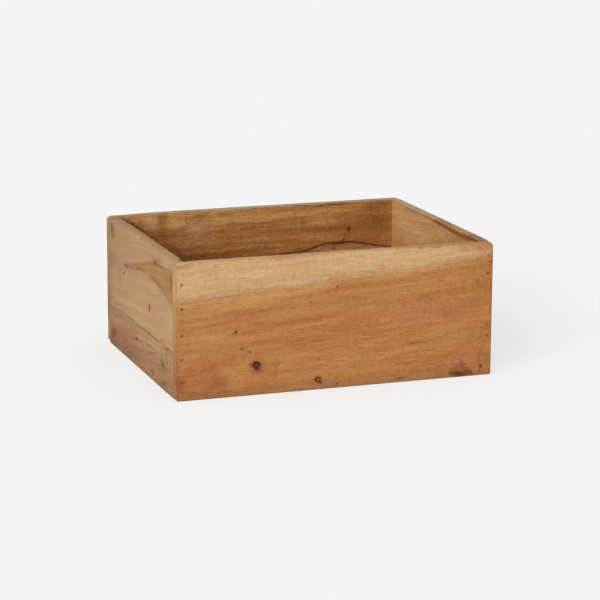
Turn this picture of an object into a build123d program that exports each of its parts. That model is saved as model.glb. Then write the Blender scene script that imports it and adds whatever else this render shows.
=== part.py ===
from build123d import *
import os

# Open nailed box of solid boards, in millimetres.
# +X runs to the right along the front, +Y to the back, +Z up.
# The origin is the middle of the underside, on the surface that the box stands on.

# Outer size of the box
box_length = 320
box_width = 250
box_height = 132

# Wall boards. The front and back boards run the full length and cover the ends of the end boards.
front_board_thickness = 12
back_board_thickness = 10
left_end_thickness = 11
right_end_thickness = 10

# Each end is made of two boards, one on the other
left_lower_board_height = 44
right_lower_board_height = 44
end_joint_gap = 0.3

# Bottom boards, nailed in between the walls and flush with their lower edges
bottom_thickness = 8
bottom_front_board_width = 132
bottom_joint_gap = 0.4
bottom_clearance = 0.2

# Wear: rounding of the edges that hands and shelves reach
outer_edge_wear = 1.2
inner_edge_wear = 0.6
end_rim_outer_wear = 1.2
end_rim_inner_wear = 0.8
foot_edge_wear = 0.8
joint_edge_wear = 0.3
bottom_edge_wear = 0.5

# How much rounder than its edges each corner of the front and back boards is, seen face on
front_top_left_extra = 0.6
front_top_right_extra = 3.0
front_bottom_right_extra = 1.0
front_bottom_left_extra = 0.4
back_top_left_extra = 2.4
back_top_right_extra = 1.2
back_bottom_right_extra = 0.8
back_bottom_left_extra = 3.0

# Steel nails, driven just below the surface
nail_length = 30
nail_point_length = 2.4
nail_head_radius = 1.1
nail_head_thickness = 0.6
nail_head_sink = 0.3
nail_shank_radius = 0.7
nail_tip_radius = 0.15
nail_hole_clearance = 0.05

# Cuts run past the face that they start from by this much
overrun = 1

# Nail heights, as shares of the end board that the nail goes into, from its lower edge up
front_left_upper_shares = (0.213, 0.501, 0.763)
front_left_lower_shares = (0.405, 0.902)
front_right_upper_shares = (0.068, 0.651, 0.853)
front_right_lower_shares = (0.893,)
back_left_upper_shares = (0.17, 0.52, 0.86)
back_left_lower_shares = (0.36, 0.84)
back_right_upper_shares = (0.15, 0.48, 0.83)
back_right_lower_shares = (0.38, 0.87)

# Nails into the bottom boards, as shares of the length, or of the bottom board's width
front_bottom_shares = (0.129, 0.5, 0.703, 0.9)
back_bottom_shares = (0.11, 0.38, 0.64, 0.89)
left_front_board_shares = (0.26, 0.8)
left_back_board_shares = (0.25, 0.76)
right_front_board_shares = (0.2, 0.72)
right_back_board_shares = (0.28, 0.8)

# Sizes that follow from the ones above
inner_length = box_length - left_end_thickness - right_end_thickness
inner_width = box_width - front_board_thickness - back_board_thickness
front_face_y = -box_width / 2
back_face_y = box_width / 2
left_face_x = -box_length / 2
right_face_x = box_length / 2
inner_front_y = front_face_y + front_board_thickness
inner_left_x = left_face_x + left_end_thickness
bottom_length = inner_length - 2 * bottom_clearance
bottom_front_edge_y = inner_front_y + bottom_clearance
bottom_joint_y = bottom_front_edge_y + bottom_front_board_width
bottom_back_board_y = bottom_joint_y + bottom_joint_gap
bottom_back_board_width = back_face_y - back_board_thickness - bottom_clearance - bottom_back_board_y
bottom_nail_height = bottom_thickness / 2

# The four outer faces, each seen from outside: local x to the viewer's right, local z out of the face
front_face = Plane(origin=(0, front_face_y, 0), x_dir=(1, 0, 0), z_dir=(0, -1, 0))
back_face = Plane(origin=(0, back_face_y, 0), x_dir=(-1, 0, 0), z_dir=(0, 1, 0))
left_face = Plane(origin=(left_face_x, 0, 0), x_dir=(0, -1, 0), z_dir=(-1, 0, 0))
right_face = Plane(origin=(right_face_x, 0, 0), x_dir=(0, 1, 0), z_dir=(1, 0, 0))


def rounded_face(width, height, low_x, low_y, radii):
    """A rectangle with its own radius at each corner, from the lower left one on, anticlockwise."""
    corners = [
        (low_x, low_y),
        (low_x + width, low_y),
        (low_x + width, low_y + height),
        (low_x, low_y + height),
    ]
    return make_face(FilletPolyline(*corners, radius=list(radii), close=True))


def long_wall(face_plane, thickness, extras):
    """A full-length wall board: rounded corners face on, and all edges eased."""
    radii = [outer_edge_wear + extra for extra in extras]
    outline = rounded_face(box_length, box_height, -box_length / 2, 0, radii)
    board = extrude(outline, -thickness)
    faces = board.faces().sort_by(Axis.Z)
    board = fillet(faces[-1].edges(), outer_edge_wear)
    inner_face = board.faces().sort_by(Axis.Z)[0]
    board = fillet(inner_face.edges(), inner_edge_wear)
    return face_plane.location * board


def end_board(face_x, inward, thickness, low_z, height, radii):
    """One board of an end: a rounded section, run from the front board to the back board.

    The section's x runs into the box from the outer face, and inward is 1 or -1 along X. The radii go
    round the section: lower outer, lower inner, upper inner and upper outer edge.
    """
    section = rounded_face(thickness, height, 0, low_z, radii)
    section_plane = Plane(
        origin=(face_x, inner_front_y, 0), x_dir=(inward, 0, 0), z_dir=(0, -inward, 0)
    )
    return section_plane.location * extrude(section, -inward * inner_width)


def bottom_board(low_y, width):
    """One bottom board: a section with eased edges, run along the inside of the box."""
    radii = [bottom_edge_wear] * 4
    section = rounded_face(width, bottom_thickness, low_y, 0, radii)
    section_plane = Plane(
        origin=(inner_left_x + bottom_clearance, 0, 0), x_dir=(0, 1, 0), z_dir=(1, 0, 0)
    )
    return section_plane.location * extrude(section, bottom_length)


def nail_profile(clearance, top):
    """Half section of a nail, or of its hole with the clearance all round, head at the top."""
    head_top = top
    head_under = -nail_head_sink - nail_head_thickness
    point_start = -nail_head_sink - nail_length + nail_point_length
    tip = -nail_head_sink - nail_length - clearance
    return make_face(
        Polyline(
            (0, head_top),
            (nail_head_radius + clearance, head_top),
            (nail_head_radius + clearance, head_under),
            (nail_shank_radius + clearance, head_under),
            (nail_shank_radius + clearance, point_start),
            (nail_tip_radius + clearance, tip),
            (0, tip),
            close=True,
        )
    )


def turned(profile):
    """A profile drawn in X and Y, turned about Y and stood along Z."""
    return Rot(X=90) * revolve(profile, Axis.Y)


def nails_at(places):
    return [place * turned(nail_profile(0, -nail_head_sink)) for place in places]


def drilled(board, places):
    """The board with a nail hole at each place, open to the outer face."""
    for place in places:
        board = board - place * turned(nail_profile(nail_hole_clearance, overrun))
    return board


def column_heights(lower_board_height, lower_shares, upper_shares):
    """Nail heights up one corner: those into the lower end board, then those into the upper one."""
    upper_start = lower_board_height + end_joint_gap
    upper_height = box_height - upper_start
    lower = [lower_board_height * share for share in lower_shares]
    upper = [upper_start + upper_height * share for share in upper_shares]
    return lower + upper


def nail_column(face_plane, x, heights):
    return [face_plane.location * Pos(x, height, 0) for height in heights]


def nail_row(face_plane, offsets):
    return [face_plane.location * Pos(x, bottom_nail_height, 0) for x in offsets]


def across_bottom(front_shares, back_shares):
    """Places from front to back, as Y, of the nails into the ends of the two bottom boards."""
    front = [bottom_front_edge_y + bottom_front_board_width * share for share in front_shares]
    back = [bottom_back_board_y + bottom_back_board_width * share for share in back_shares]
    return front + back


def along_front(shares):
    return [left_face_x + box_length * share for share in shares]


left_column_x = left_face_x + left_end_thickness / 2
right_column_x = right_face_x - right_end_thickness / 2

# Seen from behind, the back face's own x runs from the box's right to its left
nail_places = {
    "front_left_nails": nail_column(
        front_face,
        left_column_x,
        column_heights(left_lower_board_height, front_left_lower_shares, front_left_upper_shares),
    ),
    "front_right_nails": nail_column(
        front_face,
        right_column_x,
        column_heights(right_lower_board_height, front_right_lower_shares, front_right_upper_shares),
    ),
    "back_left_nails": nail_column(
        back_face,
        -left_column_x,
        column_heights(left_lower_board_height, back_left_lower_shares, back_left_upper_shares),
    ),
    "back_right_nails": nail_column(
        back_face,
        -right_column_x,
        column_heights(right_lower_board_height, back_right_lower_shares, back_right_upper_shares),
    ),
    "front_bottom_nails": nail_row(front_face, along_front(front_bottom_shares)),
    "back_bottom_nails": nail_row(back_face, along_front(back_bottom_shares)),
    "left_bottom_nails": nail_row(
        left_face, [-y for y in across_bottom(left_front_board_shares, left_back_board_shares)]
    ),
    "right_bottom_nails": nail_row(
        right_face, across_bottom(right_front_board_shares, right_back_board_shares)
    ),
}


def front_board():
    extras = (
        front_bottom_left_extra,
        front_bottom_right_extra,
        front_top_right_extra,
        front_top_left_extra,
    )
    return long_wall(front_face, front_board_thickness, extras)


def back_board():
    # Seen from behind, the box's right-hand corners come first
    extras = (
        back_bottom_right_extra,
        back_bottom_left_extra,
        back_top_left_extra,
        back_top_right_extra,
    )
    return long_wall(back_face, back_board_thickness, extras)


def lower_end_board(face_x, inward, thickness, height):
    radii = (foot_edge_wear, foot_edge_wear, joint_edge_wear, joint_edge_wear)
    return end_board(face_x, inward, thickness, 0, height, radii)


def upper_end_board(face_x, inward, thickness, lower_height):
    low_z = lower_height + end_joint_gap
    radii = (joint_edge_wear, joint_edge_wear, end_rim_inner_wear, end_rim_outer_wear)
    return end_board(face_x, inward, thickness, low_z, box_height - low_z, radii)


left_end = (left_face_x, 1, left_end_thickness, left_lower_board_height)
right_end = (right_face_x, -1, right_end_thickness, right_lower_board_height)

boards = {
    "front_board": front_board(),
    "back_board": back_board(),
    "left_end_lower_board": lower_end_board(*left_end),
    "left_end_upper_board": upper_end_board(*left_end),
    "right_end_lower_board": lower_end_board(*right_end),
    "right_end_upper_board": upper_end_board(*right_end),
    "bottom_front_board": bottom_board(bottom_front_edge_y, bottom_front_board_width),
    "bottom_back_board": bottom_board(bottom_back_board_y, bottom_back_board_width),
}

# Which nails go through or into each board
nails_in_board = {
    "front_board": ("front_left_nails", "front_right_nails", "front_bottom_nails"),
    "back_board": ("back_left_nails", "back_right_nails", "back_bottom_nails"),
    "left_end_lower_board": ("front_left_nails", "back_left_nails", "left_bottom_nails"),
    "left_end_upper_board": ("front_left_nails", "back_left_nails"),
    "right_end_lower_board": ("front_right_nails", "back_right_nails", "right_bottom_nails"),
    "right_end_upper_board": ("front_right_nails", "back_right_nails"),
    "bottom_front_board": ("front_bottom_nails", "left_bottom_nails", "right_bottom_nails"),
    "bottom_back_board": ("back_bottom_nails", "left_bottom_nails", "right_bottom_nails"),
}

os.makedirs("parts", exist_ok=True)

for name, board in boards.items():
    places = [place for group in nails_in_board[name] for place in nail_places[group]]
    export_step(drilled(board, places), f"parts/{name}.step")

for name, places in nail_places.items():
    export_step(Compound(nails_at(places)), f"parts/{name}.step")
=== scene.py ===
import math
import random

import bmesh
import bpy
import numpy as np
from mathutils import Matrix, Vector


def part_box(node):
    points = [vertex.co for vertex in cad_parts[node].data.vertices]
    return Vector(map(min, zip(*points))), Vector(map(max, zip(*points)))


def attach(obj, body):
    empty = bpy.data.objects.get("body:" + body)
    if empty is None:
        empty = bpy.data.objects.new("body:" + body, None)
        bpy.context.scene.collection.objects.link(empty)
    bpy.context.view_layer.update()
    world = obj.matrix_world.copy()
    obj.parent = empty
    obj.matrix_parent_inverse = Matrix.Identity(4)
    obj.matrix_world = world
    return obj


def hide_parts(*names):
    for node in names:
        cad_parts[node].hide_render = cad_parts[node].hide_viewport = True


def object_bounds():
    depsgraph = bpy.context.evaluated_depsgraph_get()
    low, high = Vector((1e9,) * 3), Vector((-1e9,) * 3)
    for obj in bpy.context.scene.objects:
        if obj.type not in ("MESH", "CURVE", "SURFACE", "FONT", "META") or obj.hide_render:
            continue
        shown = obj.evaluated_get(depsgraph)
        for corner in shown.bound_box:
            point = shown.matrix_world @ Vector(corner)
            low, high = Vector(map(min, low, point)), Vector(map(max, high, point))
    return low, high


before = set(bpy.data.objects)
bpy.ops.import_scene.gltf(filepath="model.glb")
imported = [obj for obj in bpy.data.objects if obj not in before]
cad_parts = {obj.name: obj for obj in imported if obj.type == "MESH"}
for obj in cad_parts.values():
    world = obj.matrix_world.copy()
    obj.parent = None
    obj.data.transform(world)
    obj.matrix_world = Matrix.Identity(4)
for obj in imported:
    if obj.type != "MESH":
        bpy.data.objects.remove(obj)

cad_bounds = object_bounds()

# Front board
# One flat-sawn board over the full length, nailed over the ends of the end boards. Its upper edge is
# pale sapwood and the rest is orange-brown heartwood, planed, rubbed with wax and worn at the edges.

MM = 0.001


def seen(red, green, blue):
    """A colour as it is seen, 0 to 255, as the light values that the shaders take."""

    def light(level):
        share = level / 255
        return share / 12.92 if share <= 0.04045 else ((share + 0.055) / 1.055) ** 2.4

    return (light(red), light(green), light(blue), 1.0)


def shades(**colours):
    """Named colours. One that only brightens what it is laid over can be above 255."""
    return {name: seen(*colour) for name, colour in colours.items()}


class Wires:
    """Wires up one node tree. An input is given as a socket of another node or as a constant."""

    def __init__(self, tree):
        self.tree = tree

    def feed(self, socket, value):
        if isinstance(value, bpy.types.NodeSocket):
            self.tree.links.new(value, socket)
        else:
            socket.default_value = value

    def node(self, kind, given=None, **settings):
        node = self.tree.nodes.new(kind)
        for name, value in settings.items():
            setattr(node, name, value)
        for key, value in (given or {}).items():
            self.feed(node.inputs[key], value)
        return node

    def group(self, tree, **given):
        node = self.node("ShaderNodeGroup", node_tree=tree)
        for name, value in given.items():
            self.feed(node.inputs[name.replace("_", " ").capitalize()], value)
        return node.outputs

    def math(self, operation, *values):
        return self.node("ShaderNodeMath", dict(enumerate(values)), operation=operation).outputs[0]

    def add(self, *values):
        total = values[0]
        for value in values[1:]:
            total = self.math("ADD", total, value)
        return total

    def times(self, *values):
        product = values[0]
        for value in values[1:]:
            product = self.math("MULTIPLY", product, value)
        return product

    def less(self, first, second):
        return self.math("SUBTRACT", first, second)

    def over(self, first, second):
        return self.math("DIVIDE", first, second)

    def vector(self, operation, *values):
        node = self.node("ShaderNodeVectorMath", dict(enumerate(values)), operation=operation)
        return node.outputs["Value" if operation == "LENGTH" else "Vector"]

    def moved(self, place, *steps):
        for step in steps:
            place = self.vector("ADD", place, step)
        return place

    def scaled(self, vector, factor):
        node = self.node("ShaderNodeVectorMath", {"Vector": vector, "Scale": factor}, operation="SCALE")
        return node.outputs["Vector"]

    def split(self, vector):
        return self.node("ShaderNodeSeparateXYZ", {"Vector": vector}).outputs[:3]

    def join(self, x=0.0, y=0.0, z=0.0):
        return self.node("ShaderNodeCombineXYZ", {"X": x, "Y": y, "Z": z}).outputs["Vector"]

    def ease(self, value, start, end, low=0.0, high=1.0):
        """Goes smoothly from low to high as value goes from start to end."""
        given = {0: value, 1: start, 2: end, 3: low, 4: high}
        return self.node("ShaderNodeMapRange", given, interpolation_type="SMOOTHSTEP").outputs[0]

    def blend(self, share, first, second):
        return self.node("ShaderNodeMix", {0: share, 2: first, 3: second}).outputs[0]

    def tint(self, share, first, second, way="MIX"):
        given = {0: share, 6: first, 7: second}
        return self.node("ShaderNodeMix", given, data_type="RGBA", blend_type=way).outputs[2]

    def noise(self, place, scale=1.0, detail=2.0, roughness=0.5, seed=0.0, output="Fac"):
        given = {"Vector": place, "W": seed, "Scale": scale, "Detail": detail, "Roughness": roughness}
        return self.node("ShaderNodeTexNoise", given, noise_dimensions="4D").outputs[output]

    def grain_noise(self, place, lengths, detail, roughness, seed):
        """Noise with its own length, in the units of place, along each axis."""
        stretched = self.vector("MULTIPLY", place, [1 / length for length in lengths])
        return self.noise(stretched, 1.0, detail, roughness, seed)


def new_tree(kind, name, inputs, outputs):
    """An empty node tree with named sockets: its wires, what comes in and where it goes out."""
    tree = bpy.data.node_groups.new(name, kind)
    for title, socket in inputs.items():
        tree.interface.new_socket(title, in_out="INPUT", socket_type="NodeSocket" + socket)
    for title, socket in outputs.items():
        tree.interface.new_socket(title, in_out="OUTPUT", socket_type="NodeSocket" + socket)
    wires = Wires(tree)
    return wires, wires.node("NodeGroupInput").outputs, wires.node("NodeGroupOutput").inputs


def new_material(name):
    """A material with an empty node tree, and its wires."""
    material = bpy.data.materials.new(name)
    material.use_nodes = True
    material.node_tree.nodes.clear()
    return material, Wires(material.node_tree)


def add_object(name, data):
    thing = bpy.data.objects.new(name, data)
    bpy.context.scene.collection.objects.link(thing)
    return thing


def grid_lines(half, edge_steps, step):
    """Places of the grid lines across one side of a board, closest together at its edges."""
    near = [half - offset for offset in edge_steps if offset < half]
    count = max(2, round(2 * near[-1] / step))
    middle = np.linspace(-near[-1], near[-1], count + 1)
    return [-place for place in near[:-1]] + list(middle) + near[:-1][::-1]


def sawn_blank(name, half):
    """A closed box with square edges, gridded so that the wear can shape it."""
    edge_steps = [step * MM for step in (0, 0.25, 0.55, 0.9, 1.3, 2.0, 3.0, 4.4)]
    middle_step = 2.4 * MM
    lines = [grid_lines(side, edge_steps, middle_step) for side in half]
    last = [len(line) - 1 for line in lines]
    points, faces, index_of = [], [], {}

    def point(key):
        if key not in index_of:
            index_of[key] = len(points)
            points.append([lines[axis][key[axis]] for axis in range(3)])
        return index_of[key]

    for axis in range(3):
        across, up = (axis + 1) % 3, (axis + 2) % 3
        for end in (0, last[axis]):
            for i in range(last[across]):
                for j in range(last[up]):
                    ring = [(i, j), (i + 1, j), (i + 1, j + 1), (i, j + 1)]
                    if end == 0:
                        ring.reverse()
                    corners = []
                    for p, q in ring:
                        key = [0, 0, 0]
                        key[axis], key[across], key[up] = end, p, q
                        corners.append(point(tuple(key)))
                    faces.append(corners)
    mesh = bpy.data.meshes.new(name)
    mesh.from_pydata(points, [], faces)
    return mesh


def refine(mesh, places, rounds):
    """Divides the faces near each place, so that what is cut there has enough of them."""
    margin = 0.5 * MM
    work = bmesh.new()
    work.from_mesh(mesh)
    for spread, cuts in rounds:
        work.faces.ensure_lookup_table()
        middles = np.array([face.calc_center_median() for face in work.faces])
        chosen = np.zeros(len(middles), bool)
        for place, reach in places:
            offset = np.abs(middles - np.array(place))
            chosen |= (offset < np.array(reach) * spread + margin).all(axis=1)
        edges = {edge for index in np.flatnonzero(chosen) for edge in work.faces[index].edges}
        if edges:
            ordered = sorted(edges, key=lambda edge: edge.index)
            bmesh.ops.subdivide_edges(work, edges=ordered, cuts=cuts, use_grid_fill=True)
            work.edges.index_update()
    work.to_mesh(mesh)
    work.free()


def point_cloud(name, marks):
    """An object of loose points, each with its reach along, across and into the board."""
    mesh = bpy.data.meshes.new(name)
    mesh.from_pydata([tuple(place) for place, reach in marks], [], [])
    reach = mesh.attributes.new("reach", "FLOAT_VECTOR", "POINT")
    reach.data.foreach_set("vector", [value for place, reach in marks for value in reach])
    return add_object(name, mesh)


def wear_radius(w, given, place, half):
    """Rounding radius of the edges: more at the rim, less at the joints and on the inner side."""
    _, y, z = w.split(place)
    _, half_y, half_z = half
    zone, full_rim, least_share = 9 * MM, 4 * MM, 0.25
    rim = w.ease(y, w.less(half_y, zone), w.less(half_y, full_rim))
    foot = w.ease(w.times(y, -1.0), w.less(half_y, zone), half_y)
    inner = w.ease(w.over(z, half_z), 0.3, -0.3)
    sides = w.times(given["Side wear"], w.blend(inner, 1.0, given["Inner share"]))
    rims = w.blend(inner, given["Rim wear"], given["Inner rim wear"])
    radius = w.blend(foot, w.blend(rim, sides, rims), given["Foot wear"])
    slow = w.noise(place, scale=28.0, seed=given["Seed"])
    quick = w.noise(place, scale=140.0, seed=given["Seed"])
    uneven = w.times(w.less(w.add(slow, quick), 1.0), given["Unevenness"])
    return w.times(radius, w.math("MAXIMUM", w.add(uneven, 1.0), least_share))


def round_corners(w, given, place, half, radius):
    """Draws the square corners, as seen face on, onto round ones.

    Gives the new place, the way out of the board there, and how far in from its outline that is.
    """
    x, y, _ = w.split(place)
    at_end = w.math("GREATER_THAN", x, 0.0)
    is_high = w.math("GREATER_THAN", y, 0.0)
    low = w.blend(at_end, given["Low start corner"], given["Low end corner"])
    high = w.blend(at_end, given["High start corner"], given["High end corner"])
    corner = w.math("MAXIMUM", w.blend(is_high, low, high), radius)

    def past(value, half_side):
        beyond = w.less(w.math("ABSOLUTE", value), w.less(half_side, corner))
        return w.times(w.math("MAXIMUM", beyond, 0.0), w.math("SIGN", value))

    past_x, past_y = past(x, half[0]), past(y, half[1])
    squared = w.join(past_x, past_y, 0.0)
    furthest = w.math("MAXIMUM", w.math("ABSOLUTE", past_x), w.math("ABSOLUTE", past_y))
    outward = w.vector("NORMALIZE", squared)
    rounded = w.moved(place, w.vector("SUBTRACT", w.scaled(outward, furthest), squared))
    return rounded, outward, w.less(corner, furthest)


def face_way(w, place):
    """The way out of the face that each point is nearer to."""
    return w.join(0.0, 0.0, w.math("SIGN", w.split(place)[2]))


def bend_edges(w, place, half, radius, outward, from_outline):
    """Bends the last stretch before each edge onto an arc.

    Gives the step of each point, how near the edge it is, from 0 to 1, and the way out there.
    """
    from_face = w.less(half[2], w.math("ABSOLUTE", w.split(place)[2]))
    side = w.math("MAXIMUM", w.less(radius, from_outline), 0.0)
    flat = w.math("MAXIMUM", w.less(radius, from_face), 0.0)
    to_edge = w.moved(w.scaled(outward, side), w.scaled(face_way(w, place), flat))
    above_zero = 1e-7
    both = w.math("SQRT", w.add(w.times(side, side), w.times(flat, flat)))
    share = w.less(w.over(radius, w.math("MAXIMUM", both, above_zero)), 1.0)
    # A point off the edge keeps its distance from it, so only points near both faces move
    near_both = w.math("GREATER_THAN", w.times(side, flat), 0.0)
    step = w.scaled(to_edge, w.times(share, near_both))
    edge_share = w.over(w.times(side, flat), w.times(radius, radius))
    return step, edge_share, w.vector("NORMALIZE", to_edge)


def warp_step(w, given, place, half):
    """The step of each point by the faces' warp, the rim's gentle waves and its drop at a worn end."""
    x, y, _ = w.split(place)
    half_x, half_y, _ = half
    seed = given["Seed"]
    ripple_share, drop_length = 0.35, 60 * MM
    swell = w.noise(w.join(x, y, 0.0), scale=7.0, detail=1.0, seed=w.add(seed, 3.0))
    ripple = w.noise(place, scale=38.0, seed=w.add(seed, 5.0))
    bow = w.less(w.add(swell, w.times(ripple, ripple_share)), (1 + ripple_share) / 2)
    wave = w.less(w.noise(w.join(x, 0.0, 0.0), scale=14.0, seed=w.add(seed, 9.0)), 0.5)
    height = w.over(y, half_y)
    waves = w.times(wave, given["Rim wave"], w.ease(height, 0.0, 1.0))
    start_drop = w.times(given["Start drop"], w.ease(w.add(x, half_x), drop_length, 0.0))
    end_drop = w.times(given["End drop"], w.ease(w.less(half_x, x), drop_length, 0.0))
    drop = w.times(w.add(start_drop, end_drop), w.ease(height, 0.75, 1.0))
    return w.join(0.0, w.less(waves, drop), w.times(bow, given["Warp"]))


def nearest_mark(w, marks, place):
    """Place and reach of the mark nearest to each point."""
    points = w.node("GeometryNodeObjectInfo", {"Object": marks}).outputs["Geometry"]
    nearest = w.node("GeometryNodeSampleNearest", {"Geometry": points, "Sample Position": place})
    reach = w.node("GeometryNodeInputNamedAttribute", {"Name": "reach"}, data_type="FLOAT_VECTOR")
    found = []
    for field in (w.node("GeometryNodeInputPosition").outputs[0], reach.outputs["Attribute"]):
        given = {"Geometry": points, "Value": field, "Index": nearest.outputs["Index"]}
        sample = w.node("GeometryNodeSampleIndex", given, data_type="FLOAT_VECTOR", clamp=True)
        found.append(sample.outputs[0])
    return found


def hollow_step(w, given, place):
    """The step of each point into a nail's hollow or a shrunken knot, and where nails left rust."""
    mark_place, mark_reach = nearest_mark(w, given["Hollows"], place)
    reach_x, reach_y, depth = w.split(mark_reach)
    away_x, away_y, away_z = w.split(w.vector("SUBTRACT", place, mark_place))
    spread = w.vector("LENGTH", w.join(w.over(away_x, reach_x), w.over(away_y, reach_y), 0.0))
    raggedness, face_depth, lip_height, least_nail_sink = 0.35, 0.5 * MM, 0.12, 0.5 * MM
    ragged = w.times(w.less(w.noise(place, scale=900.0, detail=1.0), 0.5), raggedness)
    distance = w.add(spread, ragged)
    same_face = w.math("LESS_THAN", w.math("ABSOLUTE", away_z), face_depth)
    sunk = w.times(w.ease(distance, 1.08, 0.8), same_face)
    lip = w.times(w.ease(distance, 1.7, 1.15), w.ease(distance, 0.95, 1.15), same_face, lip_height)
    step = w.scaled(face_way(w, place), w.times(w.less(lip, sunk), depth))
    # Only the deep ones hold a nail
    return step, w.times(sunk, w.math("GREATER_THAN", depth, least_nail_sink))


def chip_step(w, given, place, shaped):
    """The step of what lies within a chip's reach, back onto its torn outline, and where that is."""
    chip_place, chip_reach = nearest_mark(w, given["Chips"], place)
    torn = w.noise(place, scale=420.0, roughness=0.6, seed=given["Seed"])
    rough_reach = w.scaled(chip_reach, w.add(w.times(w.less(torn, 0.5), 0.5), 1.0))
    inside = w.vector("DIVIDE", w.vector("SUBTRACT", shaped, chip_place), rough_reach)
    chipped = w.math("LESS_THAN", w.vector("LENGTH", inside), 1.0)
    outline = w.moved(chip_place, w.vector("MULTIPLY", w.vector("NORMALIZE", inside), rough_reach))
    return w.scaled(w.vector("SUBTRACT", outline, shaped), chipped), chipped


def make_worn_board_tree():
    """Shapes a sawn blank into a worn board: rounded corners and edges, chips, warp and hollows."""
    sizes = ("Low start corner", "Low end corner", "High end corner", "High start corner")
    sizes += ("Side wear", "Rim wear", "Foot wear", "Inner rim wear", "Inner share")
    sizes += ("Unevenness", "Warp", "Rim wave", "Start drop", "End drop", "Nick depth", "Seed")
    inputs = {"Geometry": "Geometry", "Half size": "Vector"}
    inputs |= {title: "Float" for title in sizes}
    inputs |= {"Hollows": "Object", "Chips": "Object", "Wood": "Material"}
    w, given, out = new_tree("GeometryNodeTree", "worn_board", inputs, {"Geometry": "Geometry"})
    place = w.node("GeometryNodeInputPosition").outputs[0]
    half = w.split(given["Half size"])
    radius = wear_radius(w, given, place, half)
    rounded, outward, from_outline = round_corners(w, given, place, half, radius)
    bend, edge_share, way_out = bend_edges(w, place, half, radius, outward, from_outline)
    # Small nicks along the edges
    chance = w.noise(place, scale=210.0, detail=1.0, seed=w.add(given["Seed"], 7.0))
    nick = w.times(w.ease(chance, 0.6, 0.72), w.ease(edge_share, 0.05, 0.5))
    cut = w.scaled(way_out, w.times(nick, given["Nick depth"], -1.0))
    warp = warp_step(w, given, place, half)
    sink, rusty = hollow_step(w, given, place)
    shaped = w.moved(rounded, bend, cut, warp, sink)
    chip, chipped = chip_step(w, given, place, shaped)

    source = given["Geometry"]
    masks = {"worn": edge_share, "nick": w.math("MAXIMUM", nick, chipped), "rusty": rusty}
    for title, value in masks.items():
        named = {"Geometry": source, "Name": title, "Value": value}
        stored = w.node("GeometryNodeStoreNamedAttribute", named, data_type="FLOAT", domain="POINT")
        source = stored.outputs[0]
    moved = w.node("GeometryNodeSetPosition", {"Geometry": source, "Position": w.moved(shaped, chip)})
    smooth = w.node("GeometryNodeSetShadeSmooth", {"Geometry": moved.outputs[0]})
    real = w.node("GeometryNodeRealizeInstances", {"Geometry": smooth.outputs[0]})
    finish = w.node("GeometryNodeSetMaterial", {"Geometry": real.outputs[0], "Material": given["Wood"]})
    w.feed(out["Geometry"], finish.outputs[0])
    return w.tree


def shape_with(tree, name, mesh, settings):
    """Runs a geometry tree on a mesh and gives an object that holds the plain result."""
    thing = add_object(name, mesh)
    modifier = thing.modifiers.new("shape", "NODES")
    modifier.node_group = tree
    for item in tree.interface.items_tree:
        if item.in_out == "INPUT" and item.name in settings:
            modifier[item.identifier] = settings[item.name]
    graph = bpy.context.evaluated_depsgraph_get()
    shaped = thing.evaluated_get(graph)
    result = bpy.data.meshes.new_from_object(shaped, preserve_all_data_layers=True, depsgraph=graph)
    thing.modifiers.clear()
    thing.data = result
    result.name = name
    return thing


def turn_to(along, out):
    """Turns a board's own axes, along its grain, across it and out of its face, into the box's."""
    along, out = Vector(along), Vector(out)
    return Matrix((along, out.cross(along), out)).transposed()


def nail_heads(node, out):
    """The middle of each nail head's outer face, read from the nails of a CAD node."""
    face_depth, head_width = 0.02 * MM, 3 * MM
    nails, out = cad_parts[node], Vector(out)
    corners = [nails.matrix_world @ vertex.co for vertex in nails.data.vertices]
    top = max(corner.dot(out) for corner in corners)
    groups = []
    for corner in corners:
        if top - corner.dot(out) > face_depth:
            continue
        for group in groups:
            if (group[0] - corner).length < head_width:
                group.append(corner)
                break
        else:
            groups.append([corner])
    return [sum(group, Vector()) / len(group) for group in groups]


def edge_chips(half, count, seed):
    """Small chips at random along the long edges of a board, more of them along the upper ones."""
    draw = random.Random(seed)
    clear_of_ends, off_edge = 0.97, 0.1 * MM
    reaches = ((0.8, 4.5), (0.7, 1.3), (0.6, 1.1))
    chips = []
    for _ in range(count):
        place = (
            draw.uniform(-clear_of_ends, clear_of_ends) * half.x,
            draw.choice((-1, 1, 1)) * (half.y + off_edge),
            draw.choice((-1, 1)) * (half.z + off_edge),
        )
        chips.append((Vector(place), tuple(draw.uniform(*limits) * MM for limits in reaches)))
    return chips


# Reach of a nail's hollow along and across the board, and its depth
NAIL_SINK = (1.3 * MM, 1.3 * MM, 0.9 * MM)
worn_board_tree = make_worn_board_tree()


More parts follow.
